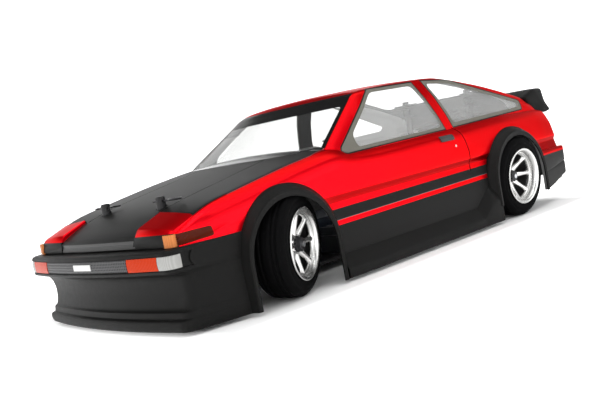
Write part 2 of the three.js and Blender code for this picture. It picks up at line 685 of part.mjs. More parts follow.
// Steering knuckle in wheel coordinates: the hub origin is on the kingpin, +X points outboard.
function knuckle(side) {
  const span = (x0, x1, ya, yb) => {
    const [y0, y1] = [side * ya, side * yb].sort((a, b) => a - b);
    return box(x0, x1, y0, y1, -3, 1);
  };
  const housing = box(-7, 2.4, -7, 7, -9, 9);
  const barrel = rod([0, 0, -13.6], [0, 0, 13.6], 3.4, 10);
  const arm = join(span(-7, -2, 5, 12), span(-9, -4, 10, 17));
  const ballAt = [STEER_BALL.x, side * STEER_BALL.y];
  const ballStud = rod([...ballAt, 0], [...ballAt, 7.6], 1.6, 6);
  const bore = rod([-20, 0, 0], [20, 0, 0], 2.5, 8);
  return cut(join(housing, barrel, arm, ballStud), bore);
}

const HEX_R = 6.8;

// Stub axle with its drive hex, in wheel coordinates.
const stubAxle = (inner, mount) => join(
  rod([inner, 0, 0], [mount + 8.4, 0, 0], 2, 6),
  rod([mount - 4, 0, 0], [mount - GAP, 0, 0], HEX_R, 6),
);

// Rear stub axle: it carries the cup of the driveshaft's outer joint.
const REAR_CUP = { inner: -21, outer: -14, r: 5.4, bore: 4.4 };

const rearAxle = (mount) => cut(
  join(
    stubAxle(REAR_CUP.outer - 1, mount),
    rod([REAR_CUP.inner, 0, 0], [REAR_CUP.outer, 0, 0], REAR_CUP.r, 10),
  ),
  rod([REAR_CUP.inner - 4, 0, 0], [REAR_CUP.outer - 1.4, 0, 0], REAR_CUP.bore, 8),
);

// Driveshaft: a shaft with a ball end in the spool's cup and another in the stub axle's cup.
function driveShaft(side) {
  const tilt = Math.tan(THREE.MathUtils.degToRad(REAR_CAMBER));
  const outerX = REAR_HUB_X + REAR_CUP.inner + 1;
  const inner = new THREE.Vector3(20.4, REAR_AXLE, SPOOL_Z);
  const outer = new THREE.Vector3(outerX, REAR_AXLE, REAR_HUB_Z - tilt * (REAR_CUP.inner + 1));
  const length = inner.distanceTo(outer);
  const at = (d) => inner.clone().lerp(outer, d / length).toArray().map((v, i) => (i === 0 ? side * v : v));
  return join(
    rod(at(0), at(length), 2, 8),
    rod(at(-2), at(2), 2.8, 8),
    rod(at(length - 2), at(length + 2), 2.6, 8),
  );
}

// ---- dampers ----
const DAMPER_RUN = new THREE.Vector2(SHOCK_FOOT.x - SHOCK_TOP.x, SHOCK_FOOT.z - SHOCK_TOP.z);
const DAMPER_LENGTH = DAMPER_RUN.length();

function alongDamper(side, y, distance) {
  const axis = DAMPER_RUN.clone().normalize();
  return [side * (SHOCK_TOP.x + axis.x * distance), y, SHOCK_TOP.z + axis.y * distance];
}

function damperBody(side, y) {
  const at = (distance) => alongDamper(side, y, distance);
  const eye = rod([at(0)[0], y - 3, at(0)[2]], [at(0)[0], y + 3, at(0)[2]], 3.6, 8);
  const cylinder = rod(at(2), at(30), 5.2, 10);
  const collar = rod(at(10), at(13), 6.6, 10);
  const eyeBore = rod([at(0)[0], y - 9, at(0)[2]], [at(0)[0], y + 9, at(0)[2]], 2.1, 6);
  const bore = rod(at(9), at(34), 2.3, 6);
  return cut(join(eye, cylinder, collar), eyeBore, bore);
}

function damperShaft(side, y) {
  const at = (distance) => alongDamper(side, y, distance);
  const foot = at(DAMPER_LENGTH);
  const shaft = rod(at(18), at(DAMPER_LENGTH - 2), 1.6, 6);
  const seat = rod(at(DAMPER_LENGTH - 7), at(DAMPER_LENGTH - 5.6), 5.4, 10);
  const eye = rod([foot[0], y - 3, foot[2]], [foot[0], y + 3, foot[2]], 3.2, 8);
  const eyeBore = rod([foot[0], y - 9, foot[2]], [foot[0], y + 9, foot[2]], 1.9, 6);
  return cut(join(shaft, seat, eye), eyeBore);
}

// ---- wheels, in wheel coordinates ----
function tyre() {
  const w = TYRE_HALF_WIDTH;
  const c = WHEEL_CENTRE;
  const bead = RIM_LIP_R - 1.7;
  const half = [
    [bead, w - 0.8], [RIM_LIP_R + 0.5, w - 0.6], [RIM_LIP_R + 2, w],
    [28.4, w - 0.7], [31.2, w - 2.6], [TYRE_R, w - 6.4],
  ];
  const profile = [...half, ...half.slice().reverse().map(([r, x]) => [r, -x])];
  return turned(profile.map(([r, x]) => [r, c + x]), WHEEL_SIDES);
}

// A rim whose hub sits at mount; its eight spokes lean out to meet the barrel just behind the ring place.
function rim(mount, ring) {
  const c = WHEEL_CENTRE;
  const h = RIM_HALF_WIDTH;
  const well = RIM_LIP_R - 2.1;
  const barrel = turned([
    [RIM_LIP_R, c + h], [well, c + h - 1.2], [well, c - h + 1.2], [RIM_LIP_R, c - h],
    [well - 1.2, c - h], [well - 1.2, c + h - 2.6], [RIM_LIP_R - 1.2, c + h],
  ], WHEEL_SIDES);
  const hub = rod([mount, 0, 0], [mount + 3.6, 0, 0], 6.2, 8);
  const spokes = [];
  const reach = well - 5;
  const rise = ring - mount - 3.6;
  const length = Math.hypot(reach, rise);
  for (let i = 0; i < 8; i += 1) {
    const geometry = new THREE.CylinderGeometry(1.9, 2.6, length, 4, 1);
    geometry.translate(0, 0.5 * length, 0);
    geometry.scale(0.8, 1, 1);
    geometry.rotateZ(-Math.atan2(rise, reach));
    geometry.translate(mount + 2.2, 4, 0);
    geometry.rotateX(i * Math.PI / 4);
    spokes.push(solid(geometry));
  }
  const axleBore = rod([mount - 5, 0, 0], [mount + 9, 0, 0], 2.4, 6);
  const nutSeat = rod([mount + 3.6, 0, 0], [mount + 9, 0, 0], 5.2, 8);
  return cut(join(barrel, hub, ...spokes), axleBore, nutSeat);
}

function wheelNut(mount) {
  const nut = rod([mount + 3.9, 0, 0], [mount + 7.6, 0, 0], 4.2, 6);
  const flange = rod([mount + 3.9, 0, 0], [mount + 4.9, 0, 0], 4.7, 8);
  const bore = rod([mount, 0, 0], [mount + 12, 0, 0], 2.3, 6);
  return cut(join(nut, flange), bore);
}

// ---- finishes ----
function finish(color, roughness, metalness) {
  return new THREE.MeshStandardMaterial({ color, roughness, metalness });
}

const FINISH = {
  shell: finish('#c4101e', 0.25, 0.3),
  wing: finish('#2c2c2a', 0.45, 0),
  plate: finish('#1d1e20', 0.45, 0.1),
  plastic: finish('#202124', 0.6, 0),
  battery: finish('#23272e', 0.4, 0),
  electronics: finish('#2a2c30', 0.5, 0.1),
  motor: finish('#8f949b', 0.35, 0.9),
  steel: finish('#b9bcc0', 0.3, 1),
  gear: finish('#e3e0d6', 0.5, 0),
  rubber: finish('#141414', 0.8, 0),
  rim: finish('#d4d6d8', 0.18, 1),
  damper: finish('#3a3d42', 0.35, 0.8),
  wire: finish('#18191b', 0.35, 0.7),
};

// ---- assembly ----
const car = new THREE.Group();
car.position.y = DATUM_Y;

function add(parent, name, body, material) {
  const mesh = new THREE.Mesh(geometryOf(body), material);
  mesh.name = name;
  parent.add(mesh);
}

add(car, 'body_shell', bodyShell(), FINISH.shell);
add(car, 'rear_wing', rearWing(), FINISH.wing);
add(car, 'chassis_plate', chassisPlate(), FINISH.plate);
add(car, 'upper_deck', upperDeck(), FINISH.plate);
add(car, 'front_bulkhead', frontBulkhead(), FINISH.plastic);
add(car, 'rear_gearbox', rearGearbox(), FINISH.plastic);
add(car, 'battery_pack', battery(), FINISH.battery);
add(car, 'speed_controller', speedController(), FINISH.electronics);
add(car, 'motor', motor(), FINISH.motor);
add(car, 'motor_pinion', motorPinion(), FINISH.steel);
add(car, 'spur_gear', spurGear(), FINISH.gear);
add(car, 'rear_spool', rearSpool(), FINISH.steel);
add(car, 'steering_servo', steeringServo(), FINISH.electronics);
add(car, 'steering_rack', steeringRack(), FINISH.plate);
add(car, 'tie_rod_left', tieRod(1), FINISH.steel);
add(car, 'tie_rod_right', tieRod(-1), FINISH.steel);

// A group at one hub: the wheel's axle is its +X, turned by steer about the kingpin and tipped by camber.
function hubFrame(side, x, y, z, steer, camber) {
  const frame = new THREE.Group();
  frame.position.set(side * x, y, z);
  frame.rotation.order = 'ZYX';
  frame.rotation.z = THREE.MathUtils.degToRad(steer + (side > 0 ? 0 : 180));
  frame.rotation.y = THREE.MathUtils.degToRad(camber);
  car.add(frame);
  return frame;
}

// How far outboard of the hub origin each rim bolts on, and where its spokes end.
const FRONT_MOUNT = 11.2;
const FRONT_RING = 18.4;
const REAR_MOUNT = 4.4;
const REAR_RING = 15.8;

for (const side of SIDES) {
  const hand = side > 0 ? 'left' : 'right';
  for (const end of ['front', 'rear']) {
    const isFront = end === 'front';
    const axle = isFront ? FRONT_AXLE : REAR_AXLE;
    const mount = isFront ? FRONT_MOUNT : REAR_MOUNT;
    const ring = isFront ? FRONT_RING : REAR_RING;
    const post = isFront ? FRONT_POST : REAR_POST;
    const shockY = isFront ? FRONT_SHOCK_Y : REAR_SHOCK_Y;
    add(car, `body_post_${end}_${hand}`, bodyPost(side, post), FINISH.plastic);
    add(car, `body_clip_${end}_${hand}`, bodyClip(side, post), FINISH.wire);
    add(car, `lower_arm_${end}_${hand}`, lowerArm(side, axle), FINISH.plastic);
    add(car, `shock_body_${end}_${hand}`, damperBody(side, shockY), FINISH.damper);
    add(car, `shock_shaft_${end}_${hand}`, damperShaft(side, shockY), FINISH.steel);
    const hub = isFront
      ? hubFrame(side, KINGPIN_X, axle, FRONT_HUB_Z, STEER, FRONT_CAMBER)
      : hubFrame(side, REAR_HUB_X, axle, REAR_HUB_Z, 0, REAR_CAMBER);
    add(hub, `tyre_${end}_${hand}`, tyre(), FINISH.rubber);
    add(hub, `rim_${end}_${hand}`, rim(mount, ring), FINISH.rim);
    add(hub, `wheel_nut_${end}_${hand}`, wheelNut(mount), FINISH.wire);
    if (isFront) {
      add(car, `caster_block_${hand}`, casterBlock(side), FINISH.plastic);
      add(hub, `knuckle_${hand}`, knuckle(side), FINISH.plastic);
      add(hub, `wheel_axle_front_${hand}`, stubAxle(-8.4, mount), FINISH.steel);
    } else {
      add(car, `hub_carrier_${hand}`, hubCarrier(side), FINISH.plastic);
      add(hub, `wheel_axle_rear_${hand}`, rearAxle(mount), FINISH.steel);
      add(car, `driveshaft_${hand}`, driveShaft(side), FINISH.steel);
    }
  }
}

export default car;
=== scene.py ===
import json
import math

import bmesh
import bpy
import numpy as np
from mathutils import Matrix, Vector


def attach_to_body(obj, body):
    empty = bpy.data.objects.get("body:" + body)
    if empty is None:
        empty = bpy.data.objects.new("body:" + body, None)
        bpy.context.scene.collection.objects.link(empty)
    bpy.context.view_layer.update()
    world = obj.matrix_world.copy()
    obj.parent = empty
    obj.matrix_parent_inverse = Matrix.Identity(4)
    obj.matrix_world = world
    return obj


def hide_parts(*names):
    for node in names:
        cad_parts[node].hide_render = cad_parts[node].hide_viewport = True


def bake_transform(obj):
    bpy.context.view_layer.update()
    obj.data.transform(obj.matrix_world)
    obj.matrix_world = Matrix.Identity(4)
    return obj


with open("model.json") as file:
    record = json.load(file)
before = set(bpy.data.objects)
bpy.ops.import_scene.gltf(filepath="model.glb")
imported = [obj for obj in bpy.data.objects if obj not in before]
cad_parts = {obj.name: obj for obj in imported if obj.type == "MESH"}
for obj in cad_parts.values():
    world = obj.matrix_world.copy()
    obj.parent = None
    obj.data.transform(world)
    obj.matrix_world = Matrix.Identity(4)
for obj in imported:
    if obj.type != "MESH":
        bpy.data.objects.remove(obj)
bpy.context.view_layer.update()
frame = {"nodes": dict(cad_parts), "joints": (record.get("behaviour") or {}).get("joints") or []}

# ---- places taken from the frame; the design is written in millimetres from a datum between the axles ----
MM = 0.001
SIDES = ((1, "left"), (-1, "right"))
ENDS = ("front", "rear")
JOINTS = {joint["name"]: joint for joint in frame["joints"]}
FRONT_AXLE = -125.0
REAR_AXLE = 130.0
DATUM_Y = JOINTS["spin_front_left"]["pos_m"][1] / MM - FRONT_AXLE


def place(point):
    x, y, z = point
    return Vector((x * MM, (y + DATUM_Y) * MM, z * MM))


# ---- smooth curves through a few chosen points ----
def monotone(xs, ys, at):
    """Piecewise cubic through (xs, ys) that never overshoots."""
    xs, ys, at = (np.asarray(values, float) for values in (xs, ys, at))
    run = np.diff(xs)
    slope = np.diff(ys) / run
    tangent = np.zeros(len(xs))
    tangent[0], tangent[-1] = slope[0], slope[-1]
    for i in range(1, len(xs) - 1):
        if slope[i - 1] * slope[i] > 0:
            near = 2 * run[i] + run[i - 1]
            far = run[i] + 2 * run[i - 1]
            tangent[i] = (near + far) / (near / slope[i - 1] + far / slope[i])
    k = np.clip(np.searchsorted(xs, at) - 1, 0, len(run) - 1)
    t = (at - xs[k]) / run[k]
    ends = (1 + 2 * t) * (1 - t) ** 2 * ys[k] + t * t * (3 - 2 * t) * ys[k + 1]
    return ends + t * (1 - t) * run[k] * ((1 - t) * tangent[k] - t * tangent[k + 1])


def rows_at(rows, places):
    table = np.array(rows, float)
    return np.stack([monotone(table[:, 0], column, places) for column in table.T[1:]], 1)


def smooth(points, per):
    """The polyline through points with each leg cut into per pieces."""
    points = np.array(points, float)
    legs = np.maximum(np.linalg.norm(np.diff(points, axis=0), axis=1), 1e-6)
    along = np.concatenate([[0], np.cumsum(legs)])
    legs = [np.linspace(a, b, per, endpoint=False) for a, b in zip(along, along[1:])]
    at = np.concatenate(legs + [[along[-1]]])
    return np.stack([monotone(along, column, at) for column in points.T], 1)


def stations(start, *legs):
    """Places from start on, each leg given as (its end, the step along it)."""
    places = []
    for stop, size in legs:
        count = max(1, int(round(abs(stop - start) / size)))
        places.append(np.linspace(start, stop, count + 1)[:-1])
        start = stop
    return np.concatenate(places + [[start]])


def ease(value, low, high):
    t = min(max((value - low) / (high - low), 0.0), 1.0)
    return t * t * (3 - 2 * t)


def rounded(outline, radius, count=5):
    """A closed outline with each corner turned into an arc."""
    points = [np.array(p, float) for p in outline]
    result = []
    for i, corner in enumerate(points):
        before, after = points[i - 1] - corner, points[(i + 1) % len(points)] - corner
        reach = min(radius, 0.45 * np.linalg.norm(before), 0.45 * np.linalg.norm(after))
        a = corner + before / np.linalg.norm(before) * reach
        b = corner + after / np.linalg.norm(after) * reach
        for t in np.linspace(0, 1, count):
            result.append((1 - t) ** 2 * a + 2 * t * (1 - t) * corner + t * t * b)
    return [tuple(p) for p in result]


# ---- mesh helpers ----
def add_object(name, data):
    piece = bpy.data.objects.new(name, data)
    bpy.context.scene.collection.objects.link(piece)
    return piece


def new_object(name, bm, material, matrix=None):
    mesh = bpy.data.meshes.new(name)
    bm.to_mesh(mesh)
    bm.free()
    if matrix is not None:
        mesh.transform(matrix)
    mesh.materials.append(material)
    return add_object(name, mesh)


def loft(name, rings, material=None, matrix=None, loop=False, paired=False):
    """A closed skin over rings of equal point count. With loop the last ring joins the first. With paired
    the caps are strips between the points that mirror each other."""
    bm = bmesh.new()
    grid = [[bm.verts.new(place(p) if matrix is None else Vector(p)) for p in ring] for ring in rings]
    count = len(grid[0])
    pairs = list(zip(grid, grid[1:])) + ([(grid[-1], grid[0])] if loop else [])
    for low, high in pairs:
        for i in range(count):
            j = (i + 1) % count
            bm.faces.new((low[i], low[j], high[j], high[i]))
    for end in () if loop else (grid[0], grid[-1]):
        if paired:
            bm.faces.new((end[0], end[1], end[-1]))
            for i in range(1, (count - 1) // 2):
                bm.faces.new((end[i], end[i + 1], end[count - i - 1], end[count - i]))
        else:
            bm.faces.new(end)
    bmesh.ops.recalc_face_normals(bm, faces=bm.faces)
    if bm.calc_volume(signed=True) < 0:
        bmesh.ops.reverse_faces(bm, faces=bm.faces)
    return new_object(name, bm, material, matrix)


def combined(name, base, keep=(), add=(), cut=(), material=None):
    """base within keep, then joined with add, then cut by cut; all of them are used up."""
    operands = [("INTERSECT", tool) for tool in keep] + [("UNION", tool) for tool in add]
    operands += [("DIFFERENCE", tool) for tool in cut]
    for operation, tool in operands:
        modifier = base.modifiers.new(operation, "BOOLEAN")
        modifier.operation = operation
        modifier.solver = "MANIFOLD"
        modifier.object = tool
        modifier.material_mode = "TRANSFER"
    mesh = bpy.data.meshes.new_from_object(base.evaluated_get(bpy.context.evaluated_depsgraph_get()))
    result = add_object(name, mesh)
    for used in [base] + [tool for _, tool in operands]:
        bpy.data.objects.remove(used)
    if material is not None:
        mesh.materials.clear()
        mesh.materials.append(material)
    return result


def copy_of(piece):
    return add_object(piece.name, piece.data.copy())


def shade(piece, angle=32):
    piece.data.shade_smooth()
    piece.data.set_sharp_from_angle(angle=math.radians(angle))
    return piece


def prism(name, outline, axis, low, high, material=None):
    """An outline in the other two axes, drawn from low to high along axis."""
    rings = [[(*pair[:axis], level, *pair[axis:]) for pair in outline] for level in (low, high)]
    return loft(name, rings, material)


def block(name, low, high, material=None):
    outline = [(low[0], low[1]), (high[0], low[1]), (high[0], high[1]), (low[0], high[1])]
    return prism(name, outline, 2, low[2], high[2], material)


def lathe(name, profile, sides, matrix, material):
    """A closed profile of (radius, x) turned about X, in millimetres of the given matrix."""
    turns = np.linspace(0, 2 * math.pi, sides, endpoint=False)
    rings = [[(x * MM, r * MM * math.cos(t), r * MM * math.sin(t)) for r, x in profile] for t in turns]
    return loft(name, rings, material, matrix, loop=True)


# ---- materials ----
class Graph:
    """Short calls that add nodes to one material and return sockets."""

    def __init__(self, name):
        self.material = bpy.data.materials.new(name)
        self.material.use_nodes = True
        self.tree = self.material.node_tree
        self.shader = self.tree.nodes["Principled BSDF"]
        self.position = self.tree.nodes.new("ShaderNodeTexCoord").outputs["Object"]

    def link(self, source, target):
        if hasattr(source, "links"):
            self.tree.links.new(source, target)
        else:
            target.default_value = source

    def node(self, kind, settings=None, **inputs):
        """A new node; its sockets are linked or set by name, with _ for a space."""
        node = self.tree.nodes.new(f"ShaderNode{kind}")
        for name, value in (settings or {}).items():
            setattr(node, name, value)
        for name, value in inputs.items():
            self.link(value, node.inputs[name.replace("_", " ")])
        return node

    def math(self, operation, *values):
        node = self.node("Math", {"operation": operation})
        for value, target in zip(values, node.inputs):
            self.link(value, target)
        return node.outputs[0]

    def plus(self, a, b):
        return self.math("ADD", a, b)

    def minus(self, a, b):
        return self.math("SUBTRACT", a, b)

    def times(self, a, b):
        return self.math("MULTIPLY", a, b)

    def either(self, first, *others):
        """The largest of several values; for masks, 1 where any of them is 1."""
        for other in others:
            first = self.math("MAXIMUM", first, other)
        return first

    def split(self):
        return self.node("SeparateXYZ", Vector=self.position).outputs

    def axes(self):
        """x without its sign, y and z in design millimetres."""
        x, y, z = (self.times(socket, 1 / MM) for socket in self.split())
        return self.math("ABSOLUTE", x), self.minus(y, DATUM_Y), z

    def region(self, *ranges):
        """1 where each value is within its limits; a range is (value, low, high), None for no limit."""
        tests = []
        for value, low, high in ranges:
            tests += [] if low is None else [self.math("GREATER_THAN", value, low)]
            tests += [] if high is None else [self.math("LESS_THAN", value, high)]
        mask = tests[0]
        for test in tests[1:]:
            mask = self.times(mask, test)
        return mask

    def noise(self, scale, detail=3.0):
        return self.node("TexNoise", Vector=self.position, Scale=scale, Detail=detail).outputs["Fac"]

    def waves(self, scale, direction="X", distortion=0.0):
        settings = {"bands_direction": direction}
        node = self.node("TexWave", settings, Vector=self.position, Scale=scale, Distortion=distortion)
        return node.outputs["Fac"]

    def between(self, value, low, high, start=0.0, end=1.0):
        """Maps start..end to low..high."""
        node = self.node("MapRange", Value=value, From_Min=start, From_Max=end, To_Min=low, To_Max=high)
        return node.outputs["Result"]

    def blend(self, factor, a, b):
        a, b = ((*colour, 1) if isinstance(colour, tuple) else colour for colour in (a, b))
        return self.node("Mix", {"data_type": "RGBA"}, Factor=factor, A=a, B=b).outputs["Result"]

    def bump(self, height, strength, distance=0.0004):
        self.set(Normal=self.node("Bump", Height=height, Strength=strength, Distance=distance).outputs[0])

    def inside(self, outline, u, v, grow=0.0):
        """1 where (u, v) lies inside a convex outline, given anticlockwise and widened by grow."""
        worst = None
        for (ax, ay), (bx, by) in zip(outline, outline[1:] + outline[:1]):
            length = math.hypot(bx - ax, by - ay)
            nx, ny = (by - ay) / length, -(bx - ax) / length
            reach = self.plus(self.times(u, nx), self.times(v, ny))
            reach = self.minus(reach, nx * ax + ny * ay)
            worst = reach if worst is None else self.either(worst, reach)
        return self.math("LESS_THAN", worst, grow)

    def set(self, **values):
        """Links or sets the shader's sockets; a plain number or colour is set on the socket itself."""
        for name, value in values.items():
            self.link(value, self.shader.inputs[name.replace("_", " ")])


def plain(name, colour, roughness, metallic=0.0, grain=400, variation=0.12, strength=0.08, specular=0.5):
    """A solid colour broken by fine grain, with roughness and bump from the same noise."""
    g = Graph(name)
    speck = g.noise(grain)
    dark = tuple(c * (1 - variation) for c in colour)
    light = tuple(min(1.0, c * (1 + variation)) for c in colour)
    g.set(Base_Color=g.blend(speck, dark, light), Metallic=metallic, Specular_IOR_Level=specular)
    g.set(Roughness=g.between(speck, roughness * 0.85, roughness * 1.15))
    g.bump(speck, strength)
    return g.material


RED = (0.82, 0.0015, 0.009)
RED_DEEP = (0.62, 0.001, 0.005)
# Darker red for the painted shade in the side crease.
RED_PAINTED_SHADE = (0.24, 0.0005, 0.002)
RED_FLAKE = (0.95, 0.012, 0.03)
RED_GLINT = (0.5, 0.02, 0.03)
# Pale pink for a painted highlight along the fender crest.
CREST_HIGHLIGHT = (0.85, 0.45, 0.48)
SATIN = (0.0055, 0.0055, 0.0053)
GREY = (0.115, 0.112, 0.095)
SILVER = (0.10, 0.10, 0.10)

# Body-side lines: height at the front door edge and rise per millimetre towards the rear.
LINE_Y0 = -81.0
SILVER_LINE = (39.5, 0.0111)
STRIPE_TOP = (46.6, 0.0100)
LOWER_TOP = (36.1, 0.0117)
CREASE_LOW = (50.8, 0.0085)
CREASE_HIGH = (55.3, 0.0050)
LINE_WIDTH = 0.4
BUMPER_TOP = 42.4
# The side windows' grey borders and clear panes, in (y, z).
DOOR_BORDER = [
    (-60.0, 82.2), (-58.9, 80.6), (-56.5, 80.0), (55.5, 82.0), (46.2, 121.4), (-5.5, 120.9), (-59.0, 84.0),
]
QUARTER_BORDER = [
    (66.4, 82.4), (168.0, 85.2), (169.8, 86.2), (172.2, 92.2), (171.2, 93.2), (91, 119.4), (58.6, 121.6),
]
BORDER_EDGE = 0.9
DOOR_GLASS = [(-43.8, 82.4), (53.2, 84.2), (44.4, 119.0), (-5.0, 118.4), (-43.6, 91.2)]
QUARTER_GLASS = [(69.0, 85.4), (165.4, 87.7), (168.0, 91.2), (90.0, 116.8), (61.6, 119.0)]
# Half outlines: the windscreen in (x, z) and the hatch window in (x, y).
SCREEN_GLASS = [(73.4, 84), (62.4, 111.8)]
HATCH_GLASS = [(46, 84), (52, 150)]


def paint_material():
    g = Graph("candy_paint")
    x, y, z = g.axes()
    flakes = g.noise(5200, 1.0)
    cloud = g.noise(14, 2.0)

    def line(base_and_rise):
        base, rise = base_and_rise
        return g.plus(g.times(g.minus(y, LINE_Y0), rise), base)

    def window(border, grow=0.0):
        return g.inside(border, y, z, grow)

    # Ahead of the rear wheels the black stripe and sill; behind them everything below the bumper's top edge.
    stripe = g.region((y, None, REAR_AXLE), (z, line(SILVER_LINE), line(STRIPE_TOP)))
    sill = g.region((y, None, REAR_AXLE), (z, None, line(LOWER_TOP)))
    tail_foot = g.region((y, REAR_AXLE, None), (z, None, BUMPER_TOP))
    from_line = g.math("ABSOLUTE", g.minus(z, line(SILVER_LINE)))
    silver = g.region((from_line, None, LINE_WIDTH / 2), (y, -90.0, 96.0))
    # Painted shade: the crease band along the side is darkened where the body line's step faces down; behind
    # the rear wheels it reaches down to the bumper.
    crease_foot = g.minus(line(CREASE_LOW), g.times(g.region((y, 150.0, None)), 9.0))
    crease_shade = g.region((x, 80.0, None), (y, -92.0, None), (z, crease_foot, line(CREASE_HIGH)))
    # The hood is black inside the fender crests, back to the windscreen pillars; its lamp covers are red.
    hood_edge = g.math("MINIMUM", 78.6, g.minus(56.6, g.times(y, 0.25)))
    # Painted highlight: a thin pale band along the hood's edge on the fender crest.
    crest = g.region((x, hood_edge, g.plus(hood_edge, 0.7)), (y, -160.0, -58.0), (z, 70.0, None))
    pod = g.region((x, 45.6, None), (y, None, -185.8), (z, 57.2, None))
    hood = g.times(g.region((x, None, hood_edge), (y, None, -60.0), (z, 49.0, None)), g.minus(1.0, pod))
    nose = g.region((y, None, -200.5), (z, None, 57.2))
    screen_edge = g.minus(74.2, g.times(g.minus(z, 89.7), 0.40))
    screen = g.region((x, None, screen_edge), (y, None, -15.5), (z, 86.0, 119.8))
    hatch = g.region((x, None, 56.0), (y, 77.0, 186.0), (z, 92.0, None))
    tail = g.region((x, None, 78.0), (y, 199.0, None), (z, 52.0, 72.0))
    beside = g.region((x, 58.0, None))
    windows = g.times(beside, g.either(window(DOOR_BORDER), window(QUARTER_BORDER)))
    outlines = g.either(window(DOOR_BORDER, BORDER_EDGE), window(QUARTER_BORDER, BORDER_EDGE))
    black = g.either(g.times(beside, outlines), stripe, sill, tail_foot, hood, nose, screen, hatch, tail)

    colour = g.blend(g.between(cloud, 0.2, 0.8), RED, RED_DEEP)
    colour = g.blend(g.between(flakes, 0.0, 0.12), colour, RED_FLAKE)
    colour = g.blend(g.times(crease_shade, 0.75), colour, RED_PAINTED_SHADE)
    colour = g.blend(g.times(crest, 0.7), colour, CREST_HIGHLIGHT)
    for mask, paint in ((black, SATIN), (windows, GREY), (silver, SILVER)):
        colour = g.blend(mask, colour, paint)
    dull = g.either(black, windows)
    roughness = g.blend(dull, (0.3, 0.3, 0.3), g.blend(screen, (0.46, 0.46, 0.46), (0.14, 0.14, 0.14)))
    g.set(Base_Color=colour, Metallic=g.between(dull, 0.92, 0.0), Roughness=roughness, Coat_Roughness=0.08)
    g.set(Specular_IOR_Level=g.between(dull, 0.5, 0.085), Coat_Weight=g.between(dull, 0.05, 0.0))
    g.set(Specular_Tint=g.blend(dull, RED_GLINT, (1.0, 1.0, 1.0)))
    g.bump(g.noise(260, 3.0), 0.03, 0.0003)
    return g.material


def backing_material():
    """The inside of the paint: pale silver behind the red of the cabin, black elsewhere."""
    g = Graph("paint_backing")
    x, y, z = g.axes()
    speck = g.noise(300)
    cabin = g.region((x, 56.0, None), (y, -62.0, None), (z, 70.0, None))
    pillar = g.region((y, 41.0, 69.0), (z, 84.0, None))
    header = g.region((y, None, -2.0), (z, 106.0, None))
    dark = g.either(g.minus(1.0, cabin), pillar, header)
    silver = g.blend(speck, (0.72, 0.72, 0.71), (0.8, 0.8, 0.79))
    g.set(Base_Color=g.blend(dark, silver, (0.03, 0.029, 0.029)), Roughness=g.between(speck, 0.32, 0.4))
    return g.material


def glass_material():
    """Solid clear sheet that bends the light."""
    g = Graph("clear_polycarbonate")
    haze = g.noise(30, 2.0)
    g.set(Base_Color=g.blend(haze, (0.93, 0.94, 0.93), (0.97, 0.98, 0.97)))
    g.set(Roughness=g.between(haze, 0.0, 0.02), Transmission_Weight=1.0, IOR=1.45)
    return g.material


def thin_glass_material():
    """Thin clear sheet, which lets the light into the cabin; its pale base at low alpha is a painted
    reflection, broken by a faint haze.
    """
    g = Graph("thin_polycarbonate")
    haze = g.noise(30, 2.0)
    # Pale base shown at low alpha: a painted reflection over the cabin.
    g.set(Base_Color=g.blend(haze, (0.8, 0.81, 0.8), (0.88, 0.89, 0.88)))
    g.set(Roughness=g.between(haze, 0.02, 0.05), Alpha=g.between(haze, 0.12, 0.17))
    return g.material


def lens_material(name, colour, ribs):
    """Moulded lamp lens: vertical flutes under a smooth skin."""
    g = Graph(name)
    flute = g.waves(ribs, distortion=0.4)
    g.set(Base_Color=g.blend(flute, tuple(0.86 * c for c in colour), colour))
    g.set(Roughness=g.between(flute, 0.18, 0.288), Specular_IOR_Level=0.08)
    g.bump(flute, 0.08, 0.0003)
    return g.material


def grille_material():
    """Square mesh: pale wires over dark holes, from two crossed waves."""
    g = Graph("grille_mesh")
    wires = g.either(g.waves(190, "X"), g.waves(190, "Z"))
    g.set(Base_Color=g.blend(wires, (0.003, 0.003, 0.003), (0.05, 0.05, 0.052)))
    g.set(Roughness=g.between(wires, 0.7, 0.35), Specular_IOR_Level=0.2)
    g.bump(wires, 0.6, 0.0004)
    return g.material


PAINT = paint_material()
INNER = backing_material()
BLACK = plain("black_paint", SATIN, 0.46, grain=300, strength=0.05, specular=0.08)
GLASS = glass_material()
SIDE_GLASS = thin_glass_material()
TYRE = plain(
    "tyre_compound", (0.0022, 0.0022, 0.0024), 0.7, grain=900, variation=0.25, strength=0.15, specular=0.03)
CHROME = plain(
    "plated_rim", (0.62, 0.62, 0.61), 0.26, metallic=1.0, grain=60, variation=0.05, strength=0.02)
# The plated rim's barrel behind the spokes, painted dark as shade.
RIM_BARREL_SHADE = plain("rim_barrel_painted_shade", (0.05, 0.05, 0.05), 0.5, metallic=0.6, grain=200, specular=0.2)
NUT = plain("blackened_steel", (0.02, 0.02, 0.022), 0.35, metallic=0.6, grain=700)
WIRE = plain("clip_wire", (0.03, 0.03, 0.032), 0.3, metallic=0.8, grain=700)
NYLON = plain(
    "moulded_nylon", (0.011, 0.011, 0.012), 0.5, grain=1200, variation=0.2, strength=0.12, specular=0.3)
AMBER = lens_material("amber_lens", (0.39, 0.024, 0.0005), 260)
PEACH = lens_material("pale_amber_lens", (0.50, 0.17, 0.05), 260)
CLEAR_LENS = lens_material("white_lens", (0.30, 0.30, 0.29), 300)
SMOKED_LENS = lens_material("brown_lens", (0.060, 0.006, 0.001), 60)
MESH = grille_material()
LAMP_BEZEL = plain("lamp_bezel", (0.03, 0.03, 0.03), 0.4, grain=800, specular=0.3)
HANDLE = plain("handle_black", (0.02, 0.02, 0.02), 0.38, grain=900)
TAIL_LENS = lens_material("tail_lens", (0.35, 0.006, 0.008), 180)
BADGE = plain("blank_badge", (0.5, 0.5, 0.49), 0.4, grain=500, variation=0.04)

